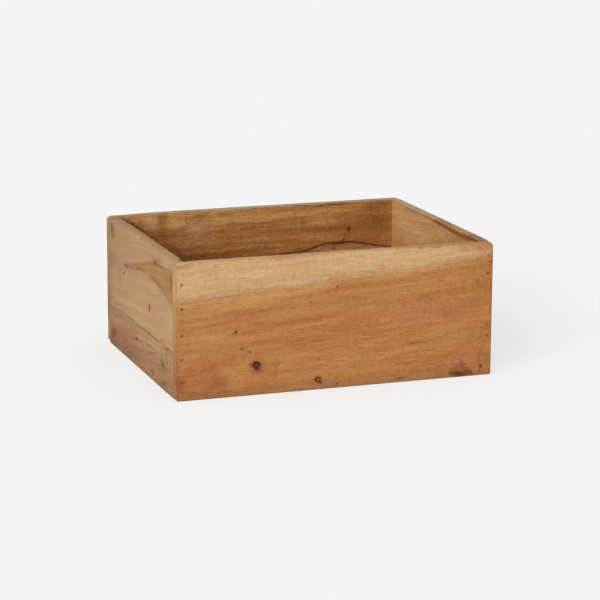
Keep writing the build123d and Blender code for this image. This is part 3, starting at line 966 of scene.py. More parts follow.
front_patches = [
    ("yellow", 0.3, 0.9, 30, 88, 26, 7, 4),
    ("yellow", 0.35, 0.9, 26, 72, 22, 4, 4),
    ("rim_brown", 0.85, 0.6, 282, -0.1, 72, 1.0),
    ("rim_brown", 0.35, 0.7, 150, 0.2, 70, 1.0),
    ("stain", 0.5, 0.8, 312, 4, 10, 5, 10),
    ("stain", 0.35, 0.9, 292, 3.5, 11, 4),
    ("faint", 0.4, 0.9, 320, 22, 5, 26),
    ("faint", 0.4, 0.9, 310, 16.5, 14, 4, 5),
    ("faint", 0.3, 0.9, 282, 21, 22, 2.6, 5),
    ("sap_light", 0.45, 0.9, 180, 5.5, 28, 3.5),
    ("yellow", 0.4, 0.9, 118, 33, 26, 3.5, 4),
    ("red", 0.25, 0.9, 26, 94, 24, 5, 4),
    ("red", 0.25, 0.9, 84, 109, 14, 4.5),
    ("pale", 0.3, 0.9, 280, 94, 26, 5, 4),
    ("yellow", 0.35, 0.9, 118, 128, 26, 3.5),
    ("brown", 0.35, 0.8, 2.5, 117, 2.2, 5.5),
    ("sap_light", 0.35, 0.9, 26, 24, 24, 4, 4),
    ("pale", 0.4, 0.9, 26, 47.5, 24, 3.5, 4),
    ("yellow", 0.3, 0.9, 70, 41, 30, 7, 4),
    ("yellow", 0.3, 0.9, 118, 46, 28, 6, 4),
    ("yellow", 0.25, 0.9, 24, 59, 22, 4, 4),
    ("yellow", 0.25, 0.9, 95, 58, 40, 4, 4),
    ("yellow", 0.45, 0.9, 226, 25, 26, 3.5, 5),
    ("yellow", 0.3, 0.9, 280, 22, 20, 3, 5),
    ("faint", 0.3, 0.9, 280, 16.5, 24, 2.4, 5),
    ("red", 0.3, 0.8, 155, 25.6, 5.5, 3),
    ("pink", 0.35, 0.9, 60, 55, 40, 3, -4),
    ("gold", 0.45, 0.9, 205, 42, 46, 8, 4),
    ("gold", 0.15, 0.9, 228, 50, 30, 5, 4),
    ("pink", 0.35, 0.9, 250, 60, 40, 6, -3),
    ("pink", 0.3, 0.9, 228, 73, 30, 5, 4),
    ("pale", 0.3, 0.9, 114, 98.5, 22, 4.5, 4),
    ("pale", 0.25, 0.9, 176, 110, 26, 6, 4),
    ("pink", 0.35, 0.9, 280, 117, 22, 4, 4),
    ("red", 0.25, 0.9, 285, 66, 26, 6, -3),
    ("orange", 0.25, 0.8, 34, 12, 9, 4),
    ("orange", 0.25, 0.8, 115, 13, 14, 4),
    ("orange", 0.45, 0.7, 203, 16.5, 4.5, 3),
    ("orange", 0.35, 0.8, 308, 4.5, 8, 3.5),
    ("faint", 0.4, 0.8, 6, 3, 8, 2.5),
    ("faint", 0.35, 0.8, 110, 1.5, 14, 1.6),
    ("brown", 0.5, 0.7, 244, 1.0, 3, 0.8),
    ("brown", 0.4, 0.7, 261, 1.0, 4, 0.8),
    ("faint", 0.3, 0.7, 150, 37.3, 9, 1.5, 3),
    ("pale", 0.3, 0.9, 62, 102, 22, 6, 10),
    ("red", 0.4, 0.9, 28, 114, 20, 10, 8),
    ("red", 0.25, 0.9, 38, 116, 10, 8),
    ("plum", 0.3, 0.9, 41, 118, 7, 6),
    ("red", 0.6, 0.8, 4.5, 114, 5, 6),
    ("brown", 0.16, 0.6, 132, 39.5, 1.8, 3.5),
    ("streak", 0.5, 0.6, 132, 45.6, 3.4, 0.9),
    ("streak", 0.5, 0.6, 154.5, 75.3, 4.5, 0.8, 8),
    ("brown", 0.55, 0.5, 159, 32.8, 1.1, 1.7, 10),
    ("brown", 0.8, 0.45, 58.3, 69.2, 1.3, 2.0, 30),
    ("brown", 0.5, 0.5, 55.6, 70.2, 2.2, 0.8, 5),
    ("streak", 0.3, 0.7, 57.5, 72.5, 3.0, 1.6),
    ("brown", 0.65, 0.5, 63.4, 86.2, 1.8, 1.3, 20),
    ("streak", 0.5, 0.6, 68, 87.4, 1.9, 1.3, 20),
    ("brown", 0.65, 0.5, 71.4, 89.6, 1.3, 1.8),
    ("brown", 0.35, 0.6, 56.8, 93.0, 1.5, 1.4),
    ("grey", 0.4, 0.7, 67.0, 92.5, 2.6, 1.7, 10),
    ("olive", 0.5, 0.8, 98.0, 105, 2.2, 9, -4),
    ("olive", 0.25, 0.8, 96.5, 114, 3.4, 3.5, -8),
    ("olive", 0.3, 0.8, 108, 111, 3, 3, 20),
    ("brown", 0.35, 0.6, 152.8, 118.6, 1.7, 1.5),
    ("pink", 0.3, 0.7, 170, 102.5, 14, 5.2, 8),
    ("faint", 0.5, 0.7, 265.5, 119, 4.5, 1.1, 2),
    ("streak", 0.35, 0.7, 296, 24, 5, 2.6, 6),
    ("brown", 0.22, 0.7, 303.5, 38, 3, 3.6),
    ("grey", 0.4, 0.8, 303, 52, 6, 4.5),
    ("red", 0.35, 0.8, 306, 58, 8, 3),
    ("brown", 0.3, 0.6, 231.6, 82.2, 1.7, 0.9),
    ("brown", 0.2, 0.6, 225.5, 82.2, 1.4, 0.9),
    ("yellow", 0.25, 0.9, 268, 83, 22, 5, 6),
    ("faint", 0.3, 0.9, 285, 101, 26, 5, 2),
    ("olive", 0.35, 0.9, 309, 38, 9, 12),
    ("olive", 0.4, 0.8, 266, 125, 6, 4),
    ("brown", 0.3, 0.9, 282, 124, 9, 5, 8),
    ("brown", 0.2, 0.8, 290, 126, 9, 4.5),
    ("brown", 0.45, 0.6, 289.5, 120, 2.6, 4.6, 20),
    ("brown", 0.4, 0.6, 280, 126.5, 4.4, 2.4),
    ("deep_red", 0.5, 0.5, 284, 128.6, 8.0, 2.4, 4),
    ("black", 0.55, 0.6, 285, 129.4, 3.4, 2.0),
    ("brown", 0.65, 0.5, 296.0, 127.4, 5.0, 2.6, -20),
    ("deep_red", 0.5, 0.6, 290.5, 129.5, 4.4, 1.9),
    ("black", 0.4, 0.7, 294, 131.2, 9, 0.9, 2),
    ("brown", 0.28, 0.6, 307.3, 113, 1.6, 9, -6),
    ("brown", 0.85, 0.5, 309.2, 122.6, 1.8, 2.0),
    ("brown", 0.45, 0.6, 308, 127, 1.2, 3),
    ("olive", 0.65, 0.7, 315.2, 119, 1.6, 7),
    ("red", 0.3, 0.8, 318.6, 80, 1.6, 46),
    ("red", 0.3, 0.8, 311, 101, 5, 12),
    ("brown", 0.6, 0.5, 317.2, 19.2, 3.4, 0.8),
    ("brown", 0.4, 0.7, 0.4, 104, 0.9, 30),
    ("red", 0.5, 0.7, 6.0, 114, 3.0, 2.6),
    ("olive", 0.5, 0.7, 50, 126, 6, 1.3, 4),
    ("brown", 0.5, 0.7, 225, 128.2, 6, 1.0, 4),
    ("grey", 0.35, 0.8, 76, 98.5, 7, 3, 20),
    ("brown", 0.45, 0.8, 72.6, 101.8, 3.0, 0.9),
    ("red", 0.35, 0.8, 79, 110, 6, 3.6),
    ("deep_red", 0.7, 0.6, 78.8, 107.4, 3.2, 1.9),
    ("brown", 0.5, 0.6, 73.8, 103.0, 1.6, 0.8),
    ("grey", 0.4, 0.8, 146, 123.5, 4, 3.2),
    ("brown", 0.95, 0.45, 142.8, 124.5, 2.2, 1.5, -45),
    ("brown", 0.8, 0.45, 140.4, 119.9, 2.8, 0.9, -10),
    ("brown", 0.6, 0.45, 137.5, 121.8, 0.9, 1.8, 10),
]
front_knots = [
    ((78.4, 103.0), (4.1, 3.8), 12, 0.9, (0.45, 0.95, 0.95, "knot")),
    ((140.3, 122.2), (2.8, 2.5), -38, 0.8, (0.3, 0.8, 0.85, "knot_pale")),
]
front_wood = board_wood(
    "front_board_wood",
    along=(1, 0, 0),
    out=(0, -1, 0),
    origin=front_corner,
    tones=front_tones,
    grain=front_grain,
    texture=1.1,
    bands=front_bands,
    lines=front_lines,
    patches=front_patches,
    knots=front_knots,
    ends=(0.0, front_length, 0.6),
)
# A chip is missing where the left end's rim meets the inner edge of the front board
corner_chip = ((-148.2, -111.5, 132.4), (4.6, 6.5, 3.2))
front_board = worn_board(
    "front_board",
    along=(1, 0, 0),
    out=(0, -1, 0),
    wood=front_wood,
    wear={
        "Low start corner": 1.6 * MM,
        "Low end corner": 2.4 * MM,
        "High end corner": 4.4 * MM,
        "High start corner": 2.0 * MM,
        "Rim wear": 1.6 * MM,
        "Inner rim wear": 4.2 * MM,
        "Seed": 3.0,
    },
    nails=("front_left_nails", "front_right_nails", "front_bottom_nails"),
    hollows=[
        (78.3, 103.0, (4.2, 3.9, 0.3)),
        (140.1, 122.2, (2.8, 2.4, 0.2)),
        (58.2, 69.4, (1.7, 1.7, 0.25)),
    ],
    chips=[corner_chip],
)
finish_piece(front_board, "front_wood", "front_board")

# Back board
# The same kind of board as the front, with more colour inside the box: golden at the top, darker below in its
# wood and with painted shade from the walls, with a bark crack that runs in an arc over redder wood.

back_low, back_high = (Vector(corner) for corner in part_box("back_board"))
back_tones = age_tones | shades(
    light=(184, 126, 70), dark=(156, 102, 52), warm=(168, 106, 60), gold=(186, 132, 70),
    top_light=(198, 147, 88), top_dark=(178, 127, 70), end=(160, 134, 106), rim=(240, 250, 255),
    rubbed=(236, 232, 228), streak=(120, 72, 32), faint=(146, 90, 44), pale=(204, 154, 102),
    beige=(206, 162, 116), red=(150, 88, 54), crack=(70, 28, 12), olive=(136, 94, 40),
    grey=(158, 130, 100), shade=(96, 58, 28),
)
back_grain = {"pith_across": -150.0, "pith_depth": 60.0, "ring_width": 5.0, "slope": 0.01, "seed": 23.0}
top_foot = [(0, 15), (60, 17), (120, 16), (160, 16.5), (190, 15), (212, 13), (250, 11), (320, 10)]
back_bands = [("top_dark", "top_light", 0.9, 5.0, None, top_foot)]
back_lines = [
    ("streak", 0.75, 0.9, [(118, 15.5), (160, 16.5), (190, 15), (202, 13.2), (216, 13.2)]),
    ("streak", 0.5, 1.1, [(158, 26.5), (185, 25.5), (204, 24.8), (226, 26), (262, 25)]),
    ("streak", 0.6, 1.2, [(92, 23.5), (112, 22.5), (130, 23)]),
    ("streak", 0.55, 1.0, [(134, 22.5), (150, 21.5), (172, 22)]),
    ("streak", 0.6, 1.0, [(40, 25), (56, 24), (76, 24)]),
    ("faint", 0.7, 1.3, [(66, 30), (100, 28.5), (150, 30.5), (200, 31)]),
    ("faint", 0.7, 1.4, [(80, 38), (120, 36), (170, 38), (215, 37)]),
    ("streak", 0.55, 1.8, [(76, 48), (105, 47.5), (140, 46), (172, 48)]),
    # Painted shade low down inside, where the front board shades the back board
    ("shade", 0.5, 1.6, [(108, 50), (126, 49), (150, 50)]),
    ("pale", 0.3, 1.6, [(205, 19.5), (235, 20.5), (268, 19.5)]),
    ("pale", 0.3, 1.3, [(104, 9.5), (150, 10.5), (215, 8.5), (256, 7)]),
    ("pale", 0.35, 1.4, [(130, 41), (160, 40), (196, 42)]),
    ("grey", 0.45, 1.6, [(100, 5.5), (125, 4.5), (165, 4)]),
    ("red", 0.55, 1.0, [(274, 6.5), (288, 6), (306, 7)]),
    ("red", 0.5, 1.6, [(268, 20.5), (290, 19.5), (312, 21)]),
    ("streak", 0.6, 0.8, [(262, 27), (272, 27), (284, 27.5)]),
    ("streak", 0.55, 1.4, [(200, 28), (225, 28.5), (256, 29)]),
]
# The slanted shade patches along the left end's wall are painted shade, and the wide shade patches low down
# are dark wood with painted shade where the front board shades the inside
back_patches = [
    ("beige", 0.55, 0.35, 43, 9, 8.5, 9),
    ("olive", 0.5, 0.35, 57, 6, 5.4, 8),
    ("streak", 0.35, 0.6, 56, 20, 6, 4),
    ("beige", 0.5, 0.45, 71, 12, 8.5, 4.8),
    ("streak", 0.35, 0.5, 34, 11, 2.4, 6),
    ("shade", 0.6, 0.6, 26, 11.5, 14, 2.8, -36),
    ("shade", 0.25, 0.8, 40, 22, 12, 6, -34),
    ("shade", 0.35, 0.8, 68, 42, 16, 5, -34),
    ("streak", 0.25, 0.8, 80, 21, 4, 4.5),
    ("grey", 0.5, 0.7, 85, 6, 4, 1.8),
    ("streak", 0.5, 0.7, 99, 5, 6, 3.5),
    ("streak", 0.35, 0.7, 125, 5, 7, 2.6),
    ("beige", 0.55, 0.9, 96, 19.5, 16, 3.5),
    ("streak", 0.2, 0.9, 92, 8, 16, 3),
    ("beige", 0.3, 0.9, 132, 12.5, 20, 2.6),
    ("pale", 0.4, 0.9, 95, 32, 26, 5),
    ("pale", 0.12, 0.9, 172, 29.5, 22, 4),
    ("pale", 0.3, 0.8, 250, 8.5, 14, 2.6),
    ("streak", 0.3, 0.9, 288, 45, 16, 3),
    ("shade", 0.3, 0.9, 174, 53, 44, 3.5),
    ("faint", 0.35, 0.9, 172, 4, 18, 3.5),
    ("streak", 0.2, 0.9, 172, 21, 18, 3),
    ("streak", 0.4, 0.9, 250, 28.5, 60, 3.4),
    ("streak", 0.5, 0.8, 222, 2.5, 34, 2.6),
    ("shade", 0.45, 0.8, 88, 48.5, 28, 4.5),
    ("olive", 0.15, 0.8, 210, 8, 6, 4.5),
    ("beige", 0.3, 0.8, 232, 18.5, 22, 4.5),
    ("beige", 0.2, 0.9, 228, 35, 22, 3.5),
    ("olive", 0.5, 0.6, 210, 21, 3, 6),
    ("faint", 0.1, 0.9, 216, 8, 24, 10),
    ("faint", 0.3, 0.9, 266, 14, 34, 14),
    ("streak", 0.35, 0.9, 292, 20, 22, 22),
    ("streak", 0.4, 0.8, 250, 45, 14, 3),
    ("streak", 0.6, 0.7, 290, 5.5, 12, 4.2),
    ("streak", 0.4, 0.8, 293, 23, 10, 8),
    ("streak", 0.8, 0.7, 250, 1.2, 13, 1.8),
    ("faint", 0.5, 0.9, 262, 34, 14, 5),
    ("shade", 0.6, 0.5, 230.8, 2.6, 3.2, 1.3, 6),
    ("shade", 0.45, 0.5, 224, 3.2, 1.8, 0.9),
    ("shade", 0.8, 0.5, 157, 1.2, 1.2, 0.9),
    ("grey", 0.4, 0.6, 259, 0.6, 5, 0.5),
    ("streak", 0.6, 0.7, 303, 4, 6, 2.6),
    ("shade", 0.35, 0.6, 289, 22.6, 1.8, 1.4),
    ("olive", 0.5, 0.7, 258, 24, 3, 4.5, 30),
    ("olive", 0.4, 0.8, 259, 35, 4, 5),
    ("grey", 0.25, 0.9, 250, 49, 34, 4),
    ("crack", 0.4, 0.7, 244, 46.5, 2.4, 3.6, 8),
    ("crack", 0.5, 0.7, 206, 47.6, 6, 1.8, 8),
    ("streak", 0.5, 0.7, 170, 43, 3.0, 2.2),
    ("red", 0.25, 0.8, 120, 48, 18, 3),
    ("weathered", 0.75, 0.6, 150, -0.3, 240, 1.0),
    ("shade", 0.4, 0.8, 0, 90, 4, 13),
    ("shade", 0.15, 0.9, 0, 60, 4, 26),
]
# The bark crack is drawn over the rest, as a run of slim patches
back_patches += [
    ("crack", strength, 0.7, x, down, long, high, angle)
    for strength, x, down, long, high, angle in (
        (0.7, 192, 51.2, 14, 1.1, 4),
        (0.8, 214, 49.1, 9, 1.3, 12),
        (0.75, 227, 45.2, 8, 1.3, 15),
        (0.75, 240, 43.3, 8, 1.1, 6),
        (0.9, 252, 43.3, 8, 1.5, 2),
        (0.7, 255, 40.8, 3.2, 1.0, 34),
        (0.85, 264, 43.5, 7, 1.2, -5),
        (0.8, 276, 45.4, 8, 1.2, -11),
        (0.8, 289, 47.9, 8, 1.2, -11),
        (0.7, 302, 50.2, 8, 1.0, -12),
    )
]
back_knots = [((261, 29), (1.5, 2.9), 8, 0.6, (0.25, 0.75, 0.7, "black"))]
back_wood = board_wood(
    "back_board_wood",
    along=(1, 0, 0),
    out=(0, -1, 0),
    origin=(back_low.x, back_low.y, back_high.z),
    tones=back_tones,
    grain=back_grain,
    texture=1.9,
    bands=back_bands,
    lines=back_lines,
    patches=back_patches,
    knots=back_knots,
    ends=(0.0, front_length, 0.75),
)
back_board = worn_board(
    "back_board",
    along=(-1, 0, 0),
    out=(0, 1, 0),
    wood=back_wood,
    wear={
        "Low start corner": 2.0 * MM,
        "Low end corner": 4.2 * MM,
        "High end corner": 4.4 * MM,
        "High start corner": 4.6 * MM,
        "Side wear": 2.2 * MM,
        "Rim wear": 1.9 * MM,
        "Inner share": 0.3,
        "End drop": 1.1 * MM,
        "Seed": 5.0,
    },
    nails=("back_left_nails", "back_right_nails", "back_bottom_nails"),
    loose_chips=14,
)
finish_piece(back_board, "back_wood", "back_board")

# Left end
# Two boards, one on the other, butted between the front and back boards and held by nails through
# them. A dark heart streak widens into a golden band in the upper one, and their joint has opened
# a little near the front.

left_high = Vector(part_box("left_end_upper_board")[1])
left_low = Vector(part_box("left_end_lower_board")[0])
left_corner = (left_low.x, back_high.y, left_high.z)
# far_rim here is painted shade: it darkens and warms the inner edge of this end's rim
left_tones = age_tones | shades(
    light=(190, 152, 108), dark=(175, 136, 92), warm=(184, 140, 100), gold=(186, 150, 100),
    heart_light=(180, 132, 72), heart_dark=(156, 104, 52), rim=(246, 246, 248),
    far_rim=(240, 228, 212), rubbed=(244, 240, 236), streak=(122, 76, 38), faint=(152, 110, 72),
    pale=(200, 164, 122), yellow=(176, 136, 66), orange=(188, 122, 68), red=(160, 92, 60),
    rose=(188, 138, 108), pink_red=(166, 96, 76), brown=(106, 62, 24), umber=(130, 84, 44),
    olive=(134, 100, 44), grey=(130, 106, 84), green=(178, 148, 98), dull=(140, 106, 76),
)
left_grain = {"pith_across": -190.0, "pith_depth": -60.0, "ring_width": 6.0, "slope": 0.1, "seed": 31.0}
heart_top = [(0, 52), (62, 41), (74, 35.5), (90, 33), (110, 28.5), (130, 23.5), (150, 18.5), (170, 13.5)]
heart_top += [(190, 12.5), (215, 12), (250, 11.5)]
heart_foot = [(0, 28), (62, 35), (74, 37.4), (90, 36), (115, 33), (145, 31), (170, 32), (200, 35.5)]
heart_foot += [(222, 39.5), (250, 46)]
left_bands = [("heart_dark", "heart_light", 0.95, 6.5, heart_top, heart_foot)]
left_lines = [
    ("rose", 0.35, 4.0, [(40, 38), (70, 30), (100, 24), (130, 17), (160, 10), (182, 5)]),
    ("brown", 0.85, 1.6, [(66, 38.4), (76, 36.8), (86, 35.2), (96, 34)]),
    ("streak", 0.8, 1.3, [(76, 35.8), (100, 34.8), (116, 32.4), (134, 29.7), (150, 28.5)]),
    ("umber", 0.55, 2.4, [(96, 32.5), (120, 28), (140, 23.5), (160, 18), (180, 14), (204, 12)]),
    ("streak", 0.6, 1.2, [(150, 28.5), (178, 31), (202, 33.4), (222, 38), (240, 43)]),
    ("streak", 0.7, 1.3, [(170, 15.5), (190, 13.5), (204, 12.2), (222, 11), (242, 10)]),
    ("yellow", 0.5, 2.2, [(150, 24), (180, 21), (206, 18), (236, 16)]),
    ("orange", 0.25, 2.4, [(180, 26), (206, 25), (238, 28)]),
    ("yellow", 0.5, 2.0, [(196, 31), (222, 35.5), (244, 39)]),
    ("olive", 0.4, 1.8, [(150, 31), (178, 33), (200, 36), (220, 41), (240, 46)]),
    ("faint", 0.55, 1.2, [(46, 21), (60, 19), (74, 17)]),
    ("faint", 0.5, 1.2, [(40, 70), (62, 67.5), (84, 64)]),
    ("orange", 0.35, 1.3, [(62, 66), (80, 62), (108, 57)]),
    ("pale", 0.45, 2.2, [(30, 79), (70, 77), (110, 72), (140, 70)]),
    ("pale", 0.4, 2.2, [(150, 40), (190, 41), (232, 48)]),
    ("faint", 0.6, 1.4, [(24, 87), (46, 84), (66, 80)]),
    ("umber", 0.75, 0.9, [(62, 88.6), (90, 87.9), (128, 87.8), (152, 87.2), (172, 86.6)]),
    ("faint", 0.6, 0.7, [(160, 87.4), (186, 88), (212, 88.6)]),
    ("faint", 0.4, 1.0, [(120, 12), (140, 9), (168, 6)]),
    ("faint", 0.4, 0.9, [(100, 48), (120, 45), (150, 42)]),
]
left_patches = [
    ("dull", 0.28, 0.9, 24, 66, 50, 140),
    ("dull", 0.4, 0.9, 6, 66, 18, 80),
    ("dull", 0.7, 0.6, 10.4, 70, 1.8, 54),
    ("faint", 0.35, 0.9, 58, 5, 34, 6, 4),
    ("faint", 0.25, 0.9, 76, 17, 44, 5, 8),
    ("rose", 0.4, 0.9, 62, 36, 34, 5, 10),
    ("dull", 0.35, 0.9, 44, 39, 40, 6, 8),
    ("faint", 0.35, 0.9, 98, 41, 20, 9, 8),
    ("rose", 0.4, 0.9, 166, 13, 16, 4.5, 14),
    ("umber", 0.25, 0.9, 178, 13, 22, 9, 10),
    ("umber", 0.25, 0.9, 22, 40, 16, 8),
    ("brown", 0.8, 0.5, 76, 37.6, 6, 1.6),
    ("pale", 0.4, 0.9, 220, 60, 24, 12, 6),
    ("pale", 0.15, 0.9, 218, 9.5, 18, 3),
    ("faint", 0.25, 0.9, 216, 48, 24, 4, 10),
    ("faint", 0.2, 0.9, 136, 17, 24, 5, 12),
    ("faint", 0.25, 0.9, 98, 21, 20, 5, 12),
    ("olive", 0.55, 0.8, 18, 6, 12, 7),
    ("umber", 0.55, 0.8, 14, 90, 10, 8),
    ("brown", 0.9, 0.5, 22.6, 9.8, 4.4, 2.6, 14),
    ("brown", 0.8, 0.7, 26, 14.6, 4.4, 3.6, -12),
    ("olive", 0.5, 0.8, 22, 12, 11, 7),
    ("red", 0.3, 0.8, 17, 45, 5, 11),
    ("grey", 0.5, 0.7, 27.5, 40.4, 4.6, 1.8, 6),
    ("brown", 0.8, 0.5, 66.5, 47.4, 4.0, 1.5, 10),
    ("brown", 0.8, 0.45, 158.5, 62.4, 3.2, 4.6),
    ("green", 0.35, 0.9, 150, 76, 50, 5, 8),
    ("rose", 0.5, 0.8, 147, 66, 7, 6),
    ("brown", 0.7, 0.6, 181, 12.6, 4.2, 2.6, 4),
    ("faint", 0.6, 0.7, 195, 8, 4, 2.4),
    ("brown", 0.5, 0.7, 233.5, 23, 4.6, 5.6),
    ("brown", 0.4, 0.8, 236, 12, 3, 4),
    ("streak", 0.45, 0.7, 195, 41.4, 5, 1.0, 8),
    ("olive", 0.6, 0.6, 202, 84.6, 2.6, 3.2),
    ("green", 0.25, 0.9, 212, 66, 14, 9, 6),
    ("green", 0.4, 0.9, 112, 47, 12, 6, 8),
    ("green", 0.4, 0.9, 100, 64, 16, 5, 8),
    ("faint", 0.45, 0.8, 204, 63.5, 5, 1.8, 6),
    ("rose", 0.4, 0.9, 176, 68, 20, 4, 8),
    ("faint", 0.4, 0.9, 50, 56, 8, 8),
    # Painted light: a pale strip along the joint near the back end, lifting the shade in the joint's groove
    ("pale", 0.35, 0.8, 24, 87.4, 30, 0.9),
    ("umber", 0.25, 0.8, 218, 14, 18, 1.8),
]
left_wood = board_wood(
    "left_end_upper_wood",
    along=(0, -1, 0),
    out=(-1, 0, 0),
    origin=left_corner,
    tones=left_tones,
    grain=left_grain,
    texture=0.45,
    bands=left_bands,
    lines=left_lines,
    patches=left_patches,
)
lower_left_tones = left_tones | shades(
    light=(182, 140, 98), dark=(152, 110, 72), warm=(168, 116, 78), gold=(176, 132, 86),
)
lower_left_lines = [
    ("faint", 0.7, 1.0, [(70, 106), (100, 104), (140, 100), (170, 97)]),
    ("umber", 0.6, 0.9, [(118, 121), (145, 112), (170, 104), (196, 101)]),
    ("faint", 0.6, 1.2, [(120, 110), (150, 107), (176, 107)]),
    ("umber", 0.5, 1.2, [(22, 99), (36, 96.6), (50, 93)]),
    ("pink_red", 0.75, 1.9, [(34, 127.5), (46, 124.5), (60, 121)]),
    ("pink_red", 0.6, 1.8, [(60, 116), (72, 113), (84, 112)]),
    ("red", 0.6, 1.2, [(96, 121), (108, 118), (124, 115)]),
    ("grey", 0.75, 1.6, [(76, 126.5), (86, 124.5), (98, 122)]),
    ("grey", 0.6, 1.5, [(100, 122.5), (112, 120.5), (124, 118)]),
    ("orange", 0.7, 1.5, [(92, 129), (110, 127), (136, 125)]),
    ("orange", 0.6, 1.5, [(170, 126), (182, 125), (200, 122)]),
    ("olive", 0.85, 1.8, [(190, 129), (204, 125.6), (222, 123)]),
    ("yellow", 0.6, 1.6, [(216, 128.5), (228, 126), (242, 123)]),
    ("faint", 0.5, 1.4, [(206, 112), (222, 107), (240, 104)]),
    ("pale", 0.5, 2.2, [(110, 100), (160, 96), (206, 97)]),
    ("pale", 0.35, 2.4, [(200, 119), (220, 113), (240, 108)]),
]
lower_left_patches = [
    ("dull", 0.25, 0.9, 24, 110, 60, 60),
    ("dull", 0.4, 0.9, 6, 108, 18, 26),
    ("dull", 0.7, 0.6, 10.4, 108, 1.8, 22),
    ("umber", 0.3, 0.9, 66, 126, 50, 9),
    ("umber", 0.4, 0.9, 58, 114, 30, 9, 4),
    ("dull", 0.35, 0.9, 62, 91, 36, 5),
    ("umber", 0.35, 0.9, 212, 111, 15, 8, 4),
    ("red", 0.45, 0.8, 14, 116, 3, 12),
    ("red", 0.35, 0.9, 58, 115, 24, 10, 6),
    ("pale", 0.3, 0.9, 186, 92, 22, 5, 4),
    ("faint", 0.3, 0.9, 98, 110, 20, 6, 6),
    ("umber", 0.5, 0.8, 25, 119.5, 14, 8, 8),
    ("brown", 0.6, 0.8, 27, 117, 9, 4.2, 10),
    ("brown", 0.6, 0.8, 22.5, 123, 7.5, 4.2, 6),
    ("red", 0.5, 0.7, 24, 126, 9, 3),
    ("brown", 0.9, 0.5, 112.3, 103.6, 4.4, 1.7, 8),
    ("umber", 0.45, 0.7, 104, 105, 5, 1.8, 8),
    ("brown", 0.85, 0.5, 202.5, 107.4, 4.2, 2.8, -8),
    ("brown", 0.5, 0.7, 201, 102.8, 2.4, 2.6),
    ("umber", 0.5, 0.8, 209, 108.6, 4.5, 1.4),
    ("umber", 0.65, 0.7, 168, 122.6, 6.6, 3.0, 6),
    ("grey", 0.5, 0.8, 189, 119.5, 4.5, 2.6, 6),
    ("red", 0.55, 0.7, 77, 125, 3.6, 1.8),
    ("olive", 0.45, 0.8, 84, 129, 4, 1.6),
    ("grey", 0.4, 0.9, 232, 119, 5, 3, 10),
    ("umber", 0.4, 0.9, 140, 116, 60, 7, 6),
    # Painted light: a pale strip along the joint near the back end, lifting the shade in the joint's groove
    ("pale", 0.4, 0.8, 24, 88.6, 30, 1.1),
]
lower_left_wood = board_wood(
    "left_end_lower_wood",
    along=(0, -1, 0),
    out=(-1, 0, 0),
    origin=left_corner,
    tones=lower_left_tones,
    grain=left_grain | {"seed": 37.0},
    texture=0.8,
    lines=lower_left_lines,
    patches=lower_left_patches,
)
end_wear = {
    "Side wear": 0.45 * MM,
    "Rim wear": 1.4 * MM,
    "Inner rim wear": 0.9 * MM,
    "Foot wear": 0.4 * MM,
    "Inner share": 0.8,
}
# Near the front the joint has lost its edges over about 25 mm: first the upper board's, then the
# lower's.
upper_joint_chip = ((-160.3, -99.5, 44.8), (2.4, 7.0, 1.2))
lower_joint_chip = ((-160.3, -88.5, 42.8), (2.4, 7.5, 1.6))
for node, wood, seed, drop, missing in (
    ("left_end_upper_board", left_wood, 6.0, 1.1 * MM, [corner_chip, upper_joint_chip]),
    ("left_end_lower_board", lower_left_wood, 8.0, 0.0, [lower_joint_chip]),
):
    wear = end_wear | {"Seed": seed, "Start drop": drop}
    nails = ("left_bottom_nails",)
    board = worn_board(node, (0, -1, 0), (-1, 0, 0), wood, wear, nails, chips=missing)
    finish_piece(board, "left_wood", node)

# Right end
# Two boards like the left end's. Inside, the upper one is golden tan with a dark red-brown streak
# just under its rim, towards the front.

right_low, right_high = (Vector(corner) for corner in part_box("right_end_upper_board"))
# far_rim here is painted light: above 255, it lightens the outer edge of this end's rim, which turns away
# from the light
right_tones = left_tones | shades(
    light=(216, 168, 114), dark=(170, 123, 71), warm=(196, 146, 100), gold=(194, 148, 86),
    rim=(248, 250, 250), far_rim=(268, 277, 292), weathered=(184, 152, 116), heart=(116, 56, 8),
    yellow=(186, 142, 66), orange=(186, 124, 62), rose=(206, 154, 118), pale=(216, 172, 124),
)
right_grain = {"pith_across": -170.0, "pith_depth": -80.0, "ring_width": 6.0, "slope": 0.08, "seed": 43.0}
right_lines = [
    ("yellow", 0.5, 1.6, [(0, 42), (30, 38), (70, 33), (104, 26), (140, 19)]),
    ("orange", 0.45, 1.4, [(92, 24), (120, 22), (150, 17)]),
    ("faint", 0.4, 1.0, [(20, 22), (60, 21), (100, 15)]),
    ("faint", 0.35, 0.9, [(0, 32), (40, 29), (76, 27)]),
    ("pale", 0.45, 1.8, [(10, 27), (50, 25), (90, 21)]),
    ("yellow", 0.35, 1.6, [(30, 12), (60, 10), (96, 11)]),
    ("rose", 0.3, 2.0, [(40, 8), (70, 5), (100, 5)]),
    ("heart", 0.8, 1.6, [(78, 1.0), (100, 1.4), (120, 1.8), (150, 2.6)]),
    ("heart", 1.0, 2.4, [(104, 0.8), (120, 1.6), (140, 2.2), (160, 2.8), (190, 2.8), (210, 2.0), (240, 1.0)]),
    ("heart", 0.7, 1.4, [(140, 3.8), (170, 4.8), (196, 5.0), (214, 4.0)]),
]
